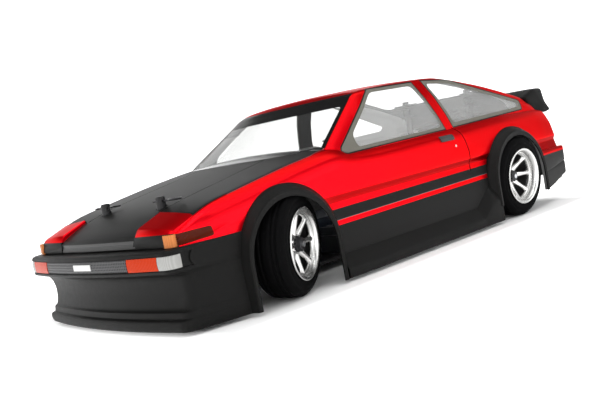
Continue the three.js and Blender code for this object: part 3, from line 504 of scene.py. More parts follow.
# ---- shell ----
WALL = 1.2
CREST_X, CROWN_X = 80.0, 76
BELT_Z, ROOF_Z, ROOF_X = 81.0, 121.0, 64.0
FLARE_X, FLARE_R, ARCH_R = 95.4, 41.5, 34.8
SIDE_X = 88.0
FRONT_ARCH = (FRONT_AXLE - 2.5, 28.0)
REAR_ARCH = (REAR_AXLE - 0.5, 30.6)
# Each pair of flares: the axle, the arch's centre and the lower edge.
FLARES = ((FRONT_AXLE, FRONT_ARCH, 2.5), (REAR_AXLE, REAR_ARCH, 14))
OUT_X, UNDER_Z = 110, -20  # beyond the shell, for tools that cut right through it
POST_HOLE_R = 3.7
# Along Y: centre height, crest height, half width, lowest edge.
BODY_ROWS = [
    (-208.6, 52.0, 51.6, 80.2, 48),
    (-207, 56.0, 55.0, 81.0, 48),
    (-204, 58.4, 57.2, 82.2, 48),
    (-195, 63.0, 61.4, 84.0, 48),
    (-186, 66.8, 65.2, 85.5, 48),
    (-171, 71.2, 69.4, 87.0, 48),
    (-150, 75.4, 73.4, 87.8, 14),
    (-130, 79.0, 77.0, 88.0, 14),
    (-100, 84.6, 81.8, 88.0, 14),
    (-72, 89.4, 84.8, 88.2, 14),
    (-55, 88.6, 82.2, 88.3, 14),
    (-30, 86.0, 81.0, 88.4, 14),
    (60, 86.0, 82.4, 88.4, 14),
    (130, 88.0, 84.0, 88.2, 14),
    (185, 88.0, 83.0, 87.0, 14),
    (200, 86.0, 82.4, 86.2, 14),
    (208.4, 84.0, 81.0, 85.4, 14),
]
ROOF_ROWS = [
    (-72, 84.6), (-67.5, 87.8), (-46, 101.9), (-27, 114.2), (-20.5, 118.4), (-15, 120.4), (8, 122.4),
    (40, 123.4), (72, 123.2), (92, 120.3), (115, 115.1), (130, 111.4), (152, 104.8), (163, 101.1),
    (177, 96.2), (188, 92.4), (200, 88.6),
]
NOSE_BOW = 5.0
SCREEN_BOW = 7.0
# Body posts: x, y, top and the height of the clip's hole.
POSTS = {"front": (33.5, -175.5, 76.4, 73.6), "rear": (34.9, 158.0, 110.8, 107.4)}


def tail_lean(y, z):
    """How far the tail leans forward at a height."""
    return 9.9 * ease(y, 176, 204) * max(0.0, z - 48.0) / 30.2


def line_at(line, y):
    return line[0] + line[1] * (y - LINE_Y0)


def past(inset, depth):
    """A hollow runs past the shell's open lower edge by depth; the outer skin ends there."""
    return depth if inset > 0 else 0


def pulled_in(places, inset):
    """The places along Y, and where each section stands once both ends are pulled in by inset."""
    return zip(places, np.concatenate([[places[0] + inset], places[1:-1], [places[-1] - inset]]))


def body_half(y, top, crest, side, low, inset):
    """Half section from the centre line over the crest, down the shoulder and the creased side."""
    drop = min(7.0, 0.4 * (crest - low))
    across = (0, 25, 50, 68, CROWN_X - 0.4 * inset)
    hood = [(x, top + (crest + 0.35 - top) * (x / CROWN_X) ** 2 - inset) for x in across]
    shoulder = [
        (CREST_X - 0.7 - 0.4 * inset, crest - 0.35 - inset),
        (CREST_X + 0.4 - 0.6 * inset, crest - 1.1 - 0.8 * inset),
        (CREST_X + 0.38 * (side - CREST_X) - 0.8 * inset, crest - 0.45 * drop - 0.3 * inset),
        (side - 1.9 - inset, crest - drop),
        (side - 0.4 - inset, crest - 1.9 * drop),
    ]
    start = shoulder[-1][1]
    depth = 1.8 * ease(y, -100, -80)
    high, foot = line_at(CREASE_HIGH, y), line_at(CREASE_LOW, y)
    creased = [
        (0.0, high + 1.6), (0.1, high), (1.0, foot + 0.4), (0.95, foot - 0.8), (0.5, 43.5), (0.1, 30.0),
    ]
    share = ease(y, -150, -125)
    walls = []
    for i, (step_in, z) in enumerate(creased):
        even = start + (low - start) * (i + 1) / (len(creased) + 1)
        walls.append((side - depth * step_in - inset, even + share * (z - even)))
    walls.append((side - 0.8 - inset, low - past(inset, 6)))
    return hood + shoulder + walls


def span(side, near, far):
    """Low and high x of a stretch on one side of the car."""
    return sorted((side * near, side * far))


def mirror_ring(half):
    """A half outline and its mirror image, without repeating the points on the centre line."""
    return [tuple(p) for p in half] + [(-p[0], *p[1:]) for p in half[::-1] if p[0] > 1e-9]


def body_solid(inset):
    places = stations(-208.6, (-200, 1.5), (-64, 3), (194, 4), (208.4, 2.4))
    rings = []
    for (section_y, y), row in zip(pulled_in(places, inset), rows_at(BODY_ROWS, places)):
        half = smooth(body_half(section_y, *row, inset), 3)
        bow = NOSE_BOW * ease(-y, 170, 204)
        rings.append(mirror_ring([(x, y + bow * (x / CREST_X) ** 2 - tail_lean(y, z), z) for x, z in half]))
    return loft("body", rings, PAINT, paired=True)


def tumblehome(z):
    return CREST_X + 0.6 - (CREST_X - ROOF_X) * (z - BELT_Z) / (ROOF_Z - BELT_Z)


def greenhouse_solid(inset):
    places = stations(-72, (-30, 3), (-8, 1.5), (200, 4))
    rings = []
    for (_, y), (edge,) in zip(pulled_in(places, inset), rows_at(ROOF_ROWS, places)):
        x = tumblehome(edge)
        crown = 2.6 * (edge - 84) / 36
        top = ((0, 1), (0.35, 0.9), (0.65, 0.62))
        half = [(share * x, edge + rise * crown - inset) for share, rise in top]
        half += [
            (x - 5 - 0.5 * inset, edge + 0.25 - inset), (x - 2 - 0.7 * inset, edge - 0.5 - inset),
            (x - 0.1 - inset, edge - 2.6 - 0.5 * inset), (tumblehome(78) - 0.3 - inset, 78 - inset),
            (tumblehome(72) - 1.6 - inset, 72 - inset),
        ]
        bow = SCREEN_BOW * ease(-y, -8, 18)
        rings.append(mirror_ring([
            (px, y - bow * (1 - (px / CREST_X) ** 2) - tail_lean(y, pz), pz) for px, pz in smooth(half, 3)
        ]))
    return loft("greenhouse", rings, PAINT)


OVERLAP = 1  # how far each bumper's sides run into the wheel arch
# Height, how far the face reaches, corner half width.
FRONT_BUMPER = [
    (2.4, 212.6, 81.8), (3.2, 213.6, 82.4), (7.6, 214.8, 83.0), (9.0, 214.2, 83.0), (10.0, 211.8, 82.6),
    (13.2, 211.2, 82.6), (14.4, 209.4, 82.4), (19, 208.0, 82.6), (24, 207.4, 83.0), (30, 208.4, 83.6),
    (34.4, 211.2, 84.4), (35.6, 214.9, 85.0), (36.6, 218.3, 85.4), (37.6, 219.2, 85.7), (43, 219.9, 86.0),
    (48, 219.0, 85.8), (49.2, 218.0, 85.5), (49.6, 216.8, 85.0),
]
REAR_BUMPER = [
    (15, 218.6, 84.2), (15.8, 220.6, 84.8), (17, 221.6, 85.0), (28.2, 222.0, 85.0), (28.9, 221.3, 84.8),
    (29.5, 221.3, 84.8), (30.2, 222.1, 85.1), (43.8, 222.4, 85.2), (45.8, 221.8, 85.0), (46.4, 220.4, 84.6),
]


def bumper_ring(z, face, corner, bow, radius, side_end, x_end):
    """One level of a bumper: a bowed face, a round corner and a side that runs back to the arch."""
    sign = math.copysign(1, face)
    flat = corner - radius

    def face_at(x):
        return face - sign * bow * (x / corner) ** 2

    half = [(share * flat, face_at(share * flat), z) for share in np.linspace(0, 0.96, 10)]
    edge = face_at(flat)
    for turn in np.linspace(0.12, math.pi / 2, 9):
        half.append((flat + radius * math.sin(turn), edge - sign * radius * (1 - math.cos(turn)), z))
    start = np.array(half[-1])
    end = np.array((x_end, side_end, z))
    half += [tuple(start + (end - start) * share) for share in np.linspace(0.14, 1, 6)]
    return mirror_ring(half)


def bumper_solid(rows, sign, bow, radius, arch_edge, inset):
    """A bumper at the front (sign -1) or the rear (1), with its face's bow and its corners' radius."""
    levels = smooth(rows, 3)
    rings = []
    for i, (z, reach, corner) in enumerate(levels):
        if i == 0:
            z -= past(inset, 8)
        if i == len(levels) - 1:
            z -= inset
        x_end = 90.5 - inset - (0.04 * (z - rows[0][0]) if sign < 0 else 0)
        side_end = arch_edge + sign * inset
        ring = bumper_ring(z, sign * (reach - inset), corner - inset, bow, radius, side_end, x_end)
        if sign > 0:
            # The lower edge climbs towards the tail; the top edge stays level.
            share = max(0.0, (rows[-1][0] - z) / (rows[-1][0] - rows[0][0]))
            ring = [(x, y, pz + share * (8.1 * ease(y, 176, 222) - 1.6)) for x, y, pz in ring]
        rings.append(ring)
    return loft("bumper", rings, BLACK if sign < 0 else PAINT)


def front_bumper(inset):
    return bumper_solid(FRONT_BUMPER, -1, 8, 6.5, FRONT_ARCH[0] - ARCH_R + OVERLAP, inset)


def rear_bumper(inset):
    return bumper_solid(REAR_BUMPER, 1, 3.4, 3, REAR_ARCH[0] + ARCH_R - OVERLAP, inset)


def arch_ring(x, y, z, radius, foot):
    """An upright arch outline: a half circle on two legs that reach down to foot."""
    turns = np.linspace(0, math.pi, 44)
    arc = [(x, y + radius * math.cos(t), z + radius * math.sin(t)) for t in turns]
    return [(x, y + radius, foot)] + arc + [(x, y - radius, foot)]


def flare_rings(side, axle, arch, foot, inset):
    """Arch outlines from the body side to the flare's lip; their centre moves from the axle to the arch."""
    low = foot - past(inset, 10)
    section = [
        (60 if inset > 0 else 78, FLARE_R, 0), (SIDE_X - 0.5 * inset, FLARE_R, 0),
        (SIDE_X + 1.6 - inset, FLARE_R - 0.5, 0.1), (SIDE_X + 3.4 - inset, FLARE_R - 1.7, 0.4),
        (SIDE_X + 5.6 - inset, FLARE_R - 3.0, 0.75), (FLARE_X - 0.5 - inset, ARCH_R + 2.9, 1),
        (FLARE_X - inset, ARCH_R + 2.0, 1), (FLARE_X - 0.3 - inset, ARCH_R + 0.9, 1),
    ]
    rings = []
    for x, radius, share in section:
        y = axle + share * (arch[0] - axle)
        rings.append(arch_ring(side * x, y, arch[1] + 1.4, radius - inset, low))
    return rings


def flare_solid(side, *shape):
    return loft("flare", flare_rings(side, *shape, 0.0), BLACK)


def flare_space(*shape):
    """The hollow of both flares of one axle, open right across the car."""
    return loft("flare", flare_rings(-1, *shape, WALL)[::-1] + flare_rings(1, *shape, WALL), BLACK)


SKIRT_Y = (FRONT_AXLE + 39, REAR_AXLE - 36)
SKIRT_X, SKIRT_ROOT_X, SKIRT_FOOT, SILL_Z = 94.5, 78, 1.8, 17.6
FIN_Y, FIN_RUN, FIN_LIFT = 69, 17, 15.5


def skirt_solid(side, inset):
    """Side skirt: a ledge along the sill that kicks up into a small fin ahead of the rear arch."""
    rings = []
    low, high = SKIRT_Y[0] + inset, SKIRT_Y[1] - inset
    for y in stations(low, (66, 6), (high, 2)):
        lift = FIN_LIFT * min(1.0, max(0.0, (y - FIN_Y) / FIN_RUN))
        reach = SKIRT_X - 1.5 * (1 - ease(y, SKIRT_Y[0], SKIRT_Y[0] + 10)) - inset
        foot = SKIRT_FOOT - past(inset, 9)
        outline = [
            (SKIRT_ROOT_X, SILL_Z + lift), (87.9 - inset, SILL_Z + lift * 0.9),
            (reach - 1.0, 9.4 + 0.8 * lift), (reach, 7.6 + 0.7 * lift), (reach, 3.2), (reach - 0.6, 2.4),
            (91.5 - inset, foot), (SKIRT_ROOT_X, foot),
        ]
        if inset > 0:
            outline = [(x, z - WALL if z > 4 else z) for x, z in outline]
        rings.append([(side * x, y, z) for x, z in outline])
    return loft("skirt", rings, BLACK)


# Along Y: the lamp cover's height at its inner and its outer edge.
POD_ROWS = [
    (-207.0, 54.0, 53.0), (-206.2, 57.2, 55.8), (-204.0, 60.6, 58.6), (-203.0, 61.5, 59.3),
    (-202.0, 62.0, 59.8), (-186.4, 68.1, 65.9), (-185.6, 67.6, 65.4), (-185.2, 64.0, 62.0),
]
POD_X, POD_FOOT = (45.8, 78.6), 50.5


def pod_solid(side):
    """Lamp cover: a wedge that stands proud of the nose beside the hood's front edge."""
    rings = []
    for y, inner, outer in POD_ROWS:
        near, far = POD_X
        middle = inner - 0.45 * (inner - outer)
        outline = [
            (near, inner - 0.7), (near + 0.8, inner), (62, middle), (far - 2.6, outer), (far, outer - 1.2),
            (far, POD_FOOT), (near, POD_FOOT),
        ]
        rings.append([(side * x, y + 0.4 * NOSE_BOW * (x / CREST_X) ** 2, z) for x, z in outline])
    return loft("pod", rings, PAINT)


def circle(x, y, radius, count):
    turns = np.linspace(0, 2 * math.pi, count, endpoint=False)
    return [(x + radius * math.cos(t), y + radius * math.sin(t)) for t in turns]


# Blocks cut from the shell as (low corner, high corner), and the space under the climbing tail in (y, z).
LAMP_BAR = ((-86.5, -230, 38.6), (86.5, -196, 47.0))
LAMP_BAR_DEPTH = 0.8
NOSE_SLOT = ((-44.6, -215, 51.8), (44.6, -204.2, 55.2))
TAIL_CLIMB = [(170, 12.3), (228, 22.5), (228, UNDER_Z), (170, UNDER_Z)]


def build_shell():
    """The outer skin less the hollow, the wheel arches, the post holes, the recesses and the panel gaps."""
    sides = [side for side, _ in SIDES]
    skins = []
    for inset in (0.0, WALL):
        extras = [greenhouse_solid(inset), front_bumper(inset), rear_bumper(inset)]
        for shape in FLARES:
            extras += [flare_space(*shape)] if inset > 0 else [flare_solid(side, *shape) for side in sides]
        for side in sides:
            extras.append(skirt_solid(side, inset))
            if inset == 0:
                extras.append(pod_solid(side))
        skins.append(combined("skin", body_solid(inset), add=extras))
    outer, inner = skins
    inner.data.materials.clear()
    inner.data.materials.append(INNER)
    tools = [inner]
    for y, z in (FRONT_ARCH, REAR_ARCH):
        tools.append(loft("arch", [arch_ring(x, y, z, ARCH_R, UNDER_Z) for x in (-OUT_X, OUT_X)], BLACK))
    for side in sides:
        for x, y, top, _ in POSTS.values():
            tools.append(prism("hole", circle(side * x, y, POST_HOLE_R, 20), 2, top - 16.4, top + 13.6))
    tools.append(combined("recess", block("strip", *LAMP_BAR, BLACK), cut=[front_bumper(LAMP_BAR_DEPTH)]))
    tools.append(block("nose_slot", *NOSE_SLOT, BLACK))
    tools.append(prism("tail_edge", TAIL_CLIMB, 0, -OUT_X, OUT_X, BLACK))
    tools.append(groove_tool())
    return combined("shell", outer, cut=tools)


# Panel gaps as polylines: the door's rear edge in (y, z), the hood's side and back edges in (x, y).
DOOR_GAP = [(63.4, 82.0), (65.6, 79.0), (70.0, 62.3), (69.5, 49.2), (69.2, 47.0)]
HOOD_SIDE_GAP = [(40.5, -186.0), (41.5, -171.0), (37.5, -92.0)]
HOOD_BACK_GAP = [(37.5, -92.0), (-37.5, -92.0)]
GAP_WIDTH, GAP_DEPTH = 0.85, 0.7


def gap_outline(points):
    """A polyline widened to a closed strip."""
    points = [np.array(p, float) for p in points]
    left, right = [], []
    for i, point in enumerate(points):
        run = points[min(i + 1, len(points) - 1)] - points[max(i - 1, 0)]
        across = np.array((-run[1], run[0])) / np.linalg.norm(run) * GAP_WIDTH / 2
        left.append(tuple(point + across))
        right.append(tuple(point - across))
    return left + right[::-1]


def groove_tool():
    """Everything the panel gaps remove from the outer skin."""
    strips = []
    hood_gaps = []
    for side, _ in SIDES:
        strips.append(prism("gap", gap_outline(DOOR_GAP), 0, *span(side, 70, 100), BLACK))
        hood_gaps.append([(side * x, y) for x, y in HOOD_SIDE_GAP])
    strips += [prism("gap", gap_outline(gap), 2, 60, 96, BLACK) for gap in hood_gaps + [HOOD_BACK_GAP]]
    joined = combined("gaps", strips[0], add=strips[1:])
    return combined("grooves", joined, cut=[body_solid(GAP_DEPTH)])


def window_tools():
    tools = {}
    for side, hand in SIDES:
        for name, outline in (("door", DOOR_GLASS), ("quarter", QUARTER_GLASS)):
            tools[f"{name}_window_{hand}"] = prism("tool", rounded(outline, 4), 0, *span(side, 55, 100))
    screen = prism("tool", rounded(mirror_ring(SCREEN_GLASS), 2.5), 1, -90, -12)
    tools["windscreen"] = combined("tool", screen, keep=[greenhouse_solid(-0.6)])
    tools["hatch_window"] = prism("tool", rounded(mirror_ring(HATCH_GLASS), 8), 2, 92, 140)
    return tools


def split_windows(shell):
    """The painted shell with its windows cut out, and the clear pieces that fill them."""
    tools = window_tools()
    panes = []
    for name, tool in tools.items():
        glass = GLASS if name == "windscreen" else SIDE_GLASS
        panes.append(combined(name, copy_of(shell), keep=[copy_of(tool)], material=glass))
    return combined("painted_shell", shell, cut=tools.values()), panes


def attach(piece, body="chassis"):
    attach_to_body(piece, body)
    return piece


shell, windows = split_windows(build_shell())
attach(shade(shell))
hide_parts("body_shell")
for pane in windows:
    attach(shade(pane))


# ---- wheels ----
def wheel_matrix(end, hand):
    """A wheel's own frame: its X runs outward along the axle from the joint's place, and Z is up."""
    joint = JOINTS[f"spin_{end}_{hand}"]
    outward = Vector(joint["axis"]) * (1 if hand == "left" else -1)
    up = Vector((0, 0, 1))
    across = up.cross(outward).normalized()
    up = outward.cross(across)
    turn = Matrix((outward, across, up)).transposed().to_4x4()
    return Matrix.Translation(joint["pos_m"]) @ turn


# Radii, and places along the axle: the tyre's middle, the hub's seat and the ring the spokes run out to.
TYRE_R, TYRE_MID = 32.4, 8.0
LIP_R, RIM_HALF = 22.5, 13.0
SEAT = {"front": 11.2, "rear": 4.4}
RING = {"front": 18.4, "rear": 15.8}


def tyre_profile():
    """(radius, x) of the bead, the sidewall and a tread of five ribs."""
    half = [
        (20.9, 11.2), (21.8, 11.6), (23.0, 11.3), (23.6, 11.5), (24.6, 11.75), (26.6, 11.7), (27.0, 11.4),
        (27.6, 11.4), (28.0, 11.5), (29.4, 10.9), (30.6, 10.0), (31.3, 9.2),
    ]
    ribs = []
    for x, top in ((7.6, TYRE_R - 0.35), (4.6, TYRE_R - 0.05), (1.5, TYRE_R)):
        ribs += [(top - 0.25, x + 0.9), (top, x + 0.5), (top, x - 0.5), (top - 0.25, x - 0.9)]
        ribs += [(top - 0.7, x - 1.1), (top - 0.7, x - 1.5)] if x > 2 else []
    half = half + ribs[:-1]
    return [(r, TYRE_MID + x) for r, x in half] + [(r, TYRE_MID - x) for r, x in half[::-1]]


def rim_profiles(ring):
    """The polished lip with the ring that the spokes meet, and the barrel behind it, painted dark as shade
    behind the spokes.
    """
    r, front, rear = LIP_R, TYRE_MID + RIM_HALF, TYRE_MID - RIM_HALF
    back = ring - 4.4
    lip = [
        (r - 0.1, front - 0.35), (r, front - 0.8), (r - 0.3, front - 1.2), (r - 2.2, front - 1.6),
        (r - 2.2, back + 0.1), (r - 3.9, back + 0.1), (r - 4.9, ring - 2.6), (r - 4.7, ring - 1.2),
        (r - 4.1, ring - 0.5), (r - 3.6, ring - 0.5), (r - 3.4, ring + 0.1), (r - 3.0, ring + 0.2),
        (r - 2.9, max(ring + 0.6, front - 2.2)), (r - 2.0, front - 0.9), (r - 1.1, front - 0.25),
        (r - 0.5, front - 0.1),
    ]
    barrel = [
        (r - 2.2, back), (r - 2.2, rear + 1.4), (r - 0.1, rear + 1.0), (r - 0.1, rear + 0.1),
        (r - 3.3, rear + 0.1), (r - 3.4, back - 0.8), (r - 3.8, back),
    ]
    return lip, barrel


SPOKE_COUNT = 8
SPOKE_FOOT, SPOKE_END = 4.2, LIP_R - 4.3
# The hub's profile, as radius and height over the seat.
HUB_PROFILE = [(2.4, 0), (6.8, 0), (7.2, 0.6), (7.0, 2.4), (6.2, 3.2), (5.2, 3.7), (2.4, 3.7)]


def round_cutter(name, radius, low, high, sides, matrix):
    """A cylinder about the axle, with a pinhole that keeps its profile off the axis."""
    return lathe(name, [(0.01, low), (radius, low), (radius, high), (0.01, high)], sides, matrix, NUT)


def spoke_section(share, seat, ring):
    """A ridged section at a share of the way out: (x, y) across the spoke."""
    half = 3.1 - 1.9 * share ** 0.8 + 1.4 * max(0.0, share - 0.82) / 0.18
    crown = seat + 3.5 + (ring - 0.7 - seat - 3.5) * share ** 1.35
    flank = [(crown - 3.4 + 0.8 * share, half * 0.7), (crown - 1.7, half), (crown - 0.5, half * 0.7)]
    flank.append((crown, half * 0.18))
    return [(x, -y) for x, y in flank] + flank[::-1]


def spokes(seat, ring, matrix, name):
    """Spokes that lean out from the hub to the ring, narrow at the ring."""
    parts = []
    for i in range(SPOKE_COUNT):
        turn = Matrix.Rotation(i * 2 * math.pi / SPOKE_COUNT, 4, "X")
        rings = []
        for share in np.linspace(0, 1, 8):
            r = SPOKE_FOOT + share * (SPOKE_END - SPOKE_FOOT)
            section = spoke_section(share, seat, ring)
            rings.append([turn @ Vector((x * MM, y * MM, r * MM)) for x, y in section])
        parts.append(loft(f"{name}_spoke", rings, CHROME, matrix))
    hub = lathe(f"{name}_hub", [(r, seat + rise) for r, rise in HUB_PROFILE], 48, matrix, CHROME)
    nut_space = round_cutter("nut_space", 5.15, seat + 3.75, seat + 12, 32, matrix)
    return combined(name, hub, add=parts, cut=[nut_space], material=CHROME)


# The nut's rings: height over the seat, radius, tooth height, and 1 where it is a hexagon.
NUT_ROWS = [
    (3.9, 4.6, 0.35, 0), (4.4, 4.75, 0.35, 0), (5.0, 4.6, 0.25, 0), (5.3, 4.3, 0, 1), (7.2, 4.3, 0, 1),
    (7.6, 3.9, 0, 1),
]


def wheel_nut(seat, matrix, name):
    """Flanged lock nut with a serrated skirt and a hexagon."""
    rings = []
    count = 48
    for x, base, teeth, flat in NUT_ROWS:
        ring = []
        for i in range(count):
            turn = 2 * math.pi * i / count
            wedge = (turn + math.pi / 6) % (math.pi / 3) - math.pi / 6
            r = base / math.cos(wedge) * 0.9 if flat else base + (teeth if i % 4 < 2 else -teeth)
            ring.append(((seat + x) * MM, r * MM * math.cos(turn), r * MM * math.sin(turn)))
        rings.append(ring)
    body = loft(name, rings, NUT, matrix)
    bore = round_cutter("bore", 2.3, seat, seat + 12, 24, matrix)
    return combined(name, body, cut=[bore], material=NUT)


def build_wheel(end, hand):
    matrix = wheel_matrix(end, hand)
    label = f"{end}_{hand}"
    body = f"wheel_{label}"
    seat, ring = SEAT[end], RING[end]
    tyre = shade(lathe(f"ribbed_tyre_{label}", tyre_profile(), 96, matrix, TYRE), 40)
    attach(tyre, body)
    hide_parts(f"tyre_{label}")
    for part, profile, material in zip(("lip", "barrel"), rim_profiles(ring), (CHROME, RIM_BARREL_SHADE)):
        band = shade(lathe(f"rim_{part}_{label}", profile, 96, matrix, material), 40)
        attach(band, body)
    attach(shade(spokes(seat, ring, matrix, f"rim_spokes_{label}"), 34), body)
    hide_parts(f"rim_{label}")
    nut = shade(wheel_nut(seat, matrix, f"lock_nut_{label}"), 30)
    attach(nut, body)
    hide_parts(f"wheel_nut_{label}")


for end in ENDS:
    for _, hand in SIDES:
        build_wheel(end, hand)

# ---- wing ----
# Half span, then (y, z) of the section: front root, ridge, top rear, rear face, lower rear, lower front.
WING_ROWS = [
    (0, 190, 95.0, 206, 100.6, 224.6, 101.6, 224.2, 100.0, 216, 97.2, 190, 84),
    (45, 189, 95.0, 205, 100.7, 222.8, 101.4, 222.3, 99.8, 214, 96.8, 189, 83),
    (66, 187, 94.6, 203, 100.7, 217.8, 100.8, 217.4, 98.8, 210.5, 94.6, 188, 82),
    (72.5, 185, 94.2, 201, 100.6, 214.4, 100.2, 214.2, 97.6, 209.6, 90.5, 190, 81),
    (75.0, 185, 93.6, 200, 100.0, 213.0, 99.0, 213.6, 96.0, 210.6, 88.0, 194, 80),
    (76.2, 188, 91.6, 201, 97.2, 211.6, 96.4, 212.4, 93.6, 210.4, 86.4, 197, 79),
    (77.6, 197, 87.0, 204, 91.0, 211.0, 89.6, 211.8, 87.4, 212.4, 83.0, 200, 78),
    (79.4, 204, 82.0, 208, 84.6, 213.4, 82.6, 214.6, 81.2, 215.6, 79.9, 206, 78),
]
WING_GAP = 0.15


def largest_part(piece):
    """Keeps only the connected part with the most vertices."""
    bm = bmesh.new()
    bm.from_mesh(piece.data)
    left = set(bm.verts)
    parts = []
    while left:
        found = front = {next(iter(left))}
        while front:
            front = {edge.other_vert(v) for v in front for edge in v.link_edges} - found
            found = found | front
        left -= found
        parts.append(found)
    keep = max(parts, key=len)
    bmesh.ops.delete(bm, geom=[v for v in bm.verts if v not in keep], context="VERTS")
    bm.to_mesh(piece.data)
    bm.free()
    return piece


def build_wing():
    spans = stations(0, (66, 6), (75, 1), (79.4, 0.55))
    rings = []
    for x, row in zip(spans, rows_at(WING_ROWS, spans)):
        corners = [(row[i], row[i + 1]) for i in range(0, 12, 2)]
        rings.append([(x, y, z) for y, z in rounded(corners, 2.0, 4)])
    rings = [[(-x, y, z) for x, y, z in ring] for ring in rings[:0:-1]] + rings
    body = [body_solid(-WING_GAP), greenhouse_solid(-WING_GAP)]
    wing = combined("tail_wing", loft("wing", rings, BLACK), cut=body)
    attach(shade(largest_part(wing), 38))
    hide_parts("rear_wing")


build_wing()


# ---- posts, clips and springs ----
def ring_round(centre, along, u, radius, sides):
    """A ring about centre, square to along, that starts on the side of u."""
    v = np.cross(along, u)
    turns = np.linspace(0, 2 * math.pi, sides, endpoint=False)
    return [tuple(centre + radius * (u * math.cos(t) + v * math.sin(t))) for t in turns]


def rod(name, start, end, radius, material, sides=24):
    """A straight round bar between two points of the design."""
    start, end = np.array(start, float), np.array(end, float)
    along = (end - start) / np.linalg.norm(end - start)
    u = np.cross(along, (0.0, 1.0, 0.0) if abs(along[1]) < 0.9 else (1.0, 0.0, 0.0))
    u /= np.linalg.norm(u)
    return loft(name, [ring_round(base, along, u, radius, sides) for base in (start, end)], material)


def tube(name, points, radius, material, sides=10):
    """A round wire that follows a smooth line through points."""
    line = np.array(points, float)
    rings = []
    u = np.array((0.0, 0.0, 1.0))
    for i, point in enumerate(line):
        along = line[min(i + 1, len(line) - 1)] - line[max(i - 1, 0)]
        along /= np.linalg.norm(along)
        u = u - along * np.dot(u, along)
        u /= np.linalg.norm(u)
        rings.append(ring_round(point, along, u, radius, sides))
    return loft(name, rings, material)


PLATE_TOP = 7.5
CLIP_LINE = [
    (-8, 0), (8, 0), (11, -0.6), (14.4, 0.6), (15.4, 3.4), (13.6, 5.8), (10.6, 6), (5.4, 4.6), (1, 4.9),
    (-3, 4.2), (-8.4, 6.4),
]


def build_post(end, side, hand):
    x, y, top, pin = POSTS[end]
    x *= side

    def upright(low, high, radius, sides=24):
        return rod("part", (x, y, low), (x, y, high), radius, NYLON, sides)

    base = PLATE_TOP + 0.1
    column = upright(base, top - 0.5, 3.0)
    foot = upright(base, PLATE_TOP + 8, 5.0)
    flange = upright(pin - 12.2, pin - 10.2, 6.0, 32)
    crown = upright(top - 0.6, top, 2.5)
    pin_hole = rod("hole", (x - 8, y, pin), (x + 8, y, pin), 0.9, NYLON, 12)
    post = combined(f"post_{end}_{hand}", column, add=[foot, flange, crown], cut=[pin_hole])
    attach(shade(post, 40))
    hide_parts(f"body_post_{end}_{hand}")


def build_clip(end, side, hand):
    x, y, _, pin = POSTS[end]
    line = [(side * (x + px), y + py, pin) for px, py in smooth(CLIP_LINE, 6)]
    clip = tube(f"hairpin_{end}_{hand}", line, 0.62, WIRE)
    attach(shade(clip, 60), f"clip_{end}_{hand}")
    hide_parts(f"body_clip_{end}_{hand}")


# The dampers' eyes in (x, z), and the spring wound round each one.
SHOCK_TOP, SHOCK_FOOT = np.array((30.0, 66.0)), np.array((45.0, 21.0))
SHOCK_Y = {"front": FRONT_AXLE, "rear": REAR_AXLE + 14}
SPRING_R, SPRING_WIRE_R, SPRING_TURNS = 6.1, 0.6, 6.0
COLLAR_DROP, SEAT_RISE = 13.9, 7.9
SPRING = plain("spring_steel", (0.35, 0.36, 0.38), 0.3, metallic=0.9, grain=500)


def coil_climb(t):
    """Share of the height at share t of the turns; the pitch is halved at both ends."""
    if t <= 0.06:
        return 0.5 * t + 0.03
    return t if t < 0.94 else 0.5 * t + 0.47


def build_spring(end, side, hand):
    """A coil round the damper from its collar to the seat on the shaft."""
    run = SHOCK_FOOT - SHOCK_TOP
    length = np.linalg.norm(run)
    axis = run / length
    start, stop = COLLAR_DROP, length - SEAT_RISE
    across = np.array((axis[1], -axis[0]))
    line = []
    for t in np.linspace(0, 1, 145):
        turn = 2 * math.pi * SPRING_TURNS * t
        centre = SHOCK_TOP + axis * (start + (stop - start) * coil_climb(t))
        out = centre + across * SPRING_R * math.cos(turn)
        line.append((side * out[0], SHOCK_Y[end] + SPRING_R * math.sin(turn), out[1]))
    spring = shade(tube(f"spring_{end}_{hand}", line, SPRING_WIRE_R, SPRING, 8), 60)
    top, foot = (SHOCK_TOP + axis * along for along in (start, stop))
    top, foot = (place((side * p[0], SHOCK_Y[end], p[1])) for p in (top, foot))
    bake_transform(spring)


for end in ENDS:
    for side, hand in SIDES:
        build_post(end, side, hand)
        build_clip(end, side, hand)
        build_spring(end, side, hand)


# ---- nose and tail fittings ----
def bar_inlay(name, x0, x1, z0, z1, material, y_end=-206.0, depth=(0.3, LAMP_BAR_DEPTH)):
    """A piece that lies in the bumper's recess and follows its curve, from one depth under it to another."""
    tool = block("tool", (x0, -230, z0), (x1, y_end, z1))
    outer, core = (front_bumper(level) for level in depth)
    attach(shade(combined(name, outer, keep=[tool], cut=[core], material=material)))


def skin_inlay(name, tool, material, proud=0.25):
    """A thin piece that lies on the body skin, cut to the tool's outline."""
    piece = combined(name, body_solid(-proud), keep=[tool], cut=[body_solid(0.0)], material=material)
    attach(shade(piece))


def tail_block(x0, x1):
    return block("tool", (x0, 196, 54), (x1, 220, 70))


LAMP_Z = (39.1, 46.5)
# Outlines on the side in (y, z), the corner lamp's path in (x, y) and the dark bar's section in (y, z).
SIDE_LENS = [(-203.0, 50.2), (-179.5, 51.4), (-179.5, 57.0), (-203.0, 56.6)]
DOOR_HANDLE = [(38.8, 73.0), (55.0, 73.0), (55.0, 77.4), (38.8, 77.4)]
DOOR_LOCK = circle(54.6, 68.2, 0.9, 16)
CORNER_PATH = [(75.4, -206.1), (78.4, -205.8), (80.9, -204.7), (82.4, -202.9)]
SLOT_SECTION = [
    (-207.6, 50.6), (-206.2, 50.6), (-206.2, 55.4), (-206.9, 55.4), (-207.3, 53.2), (-207.6, 53.0),
]


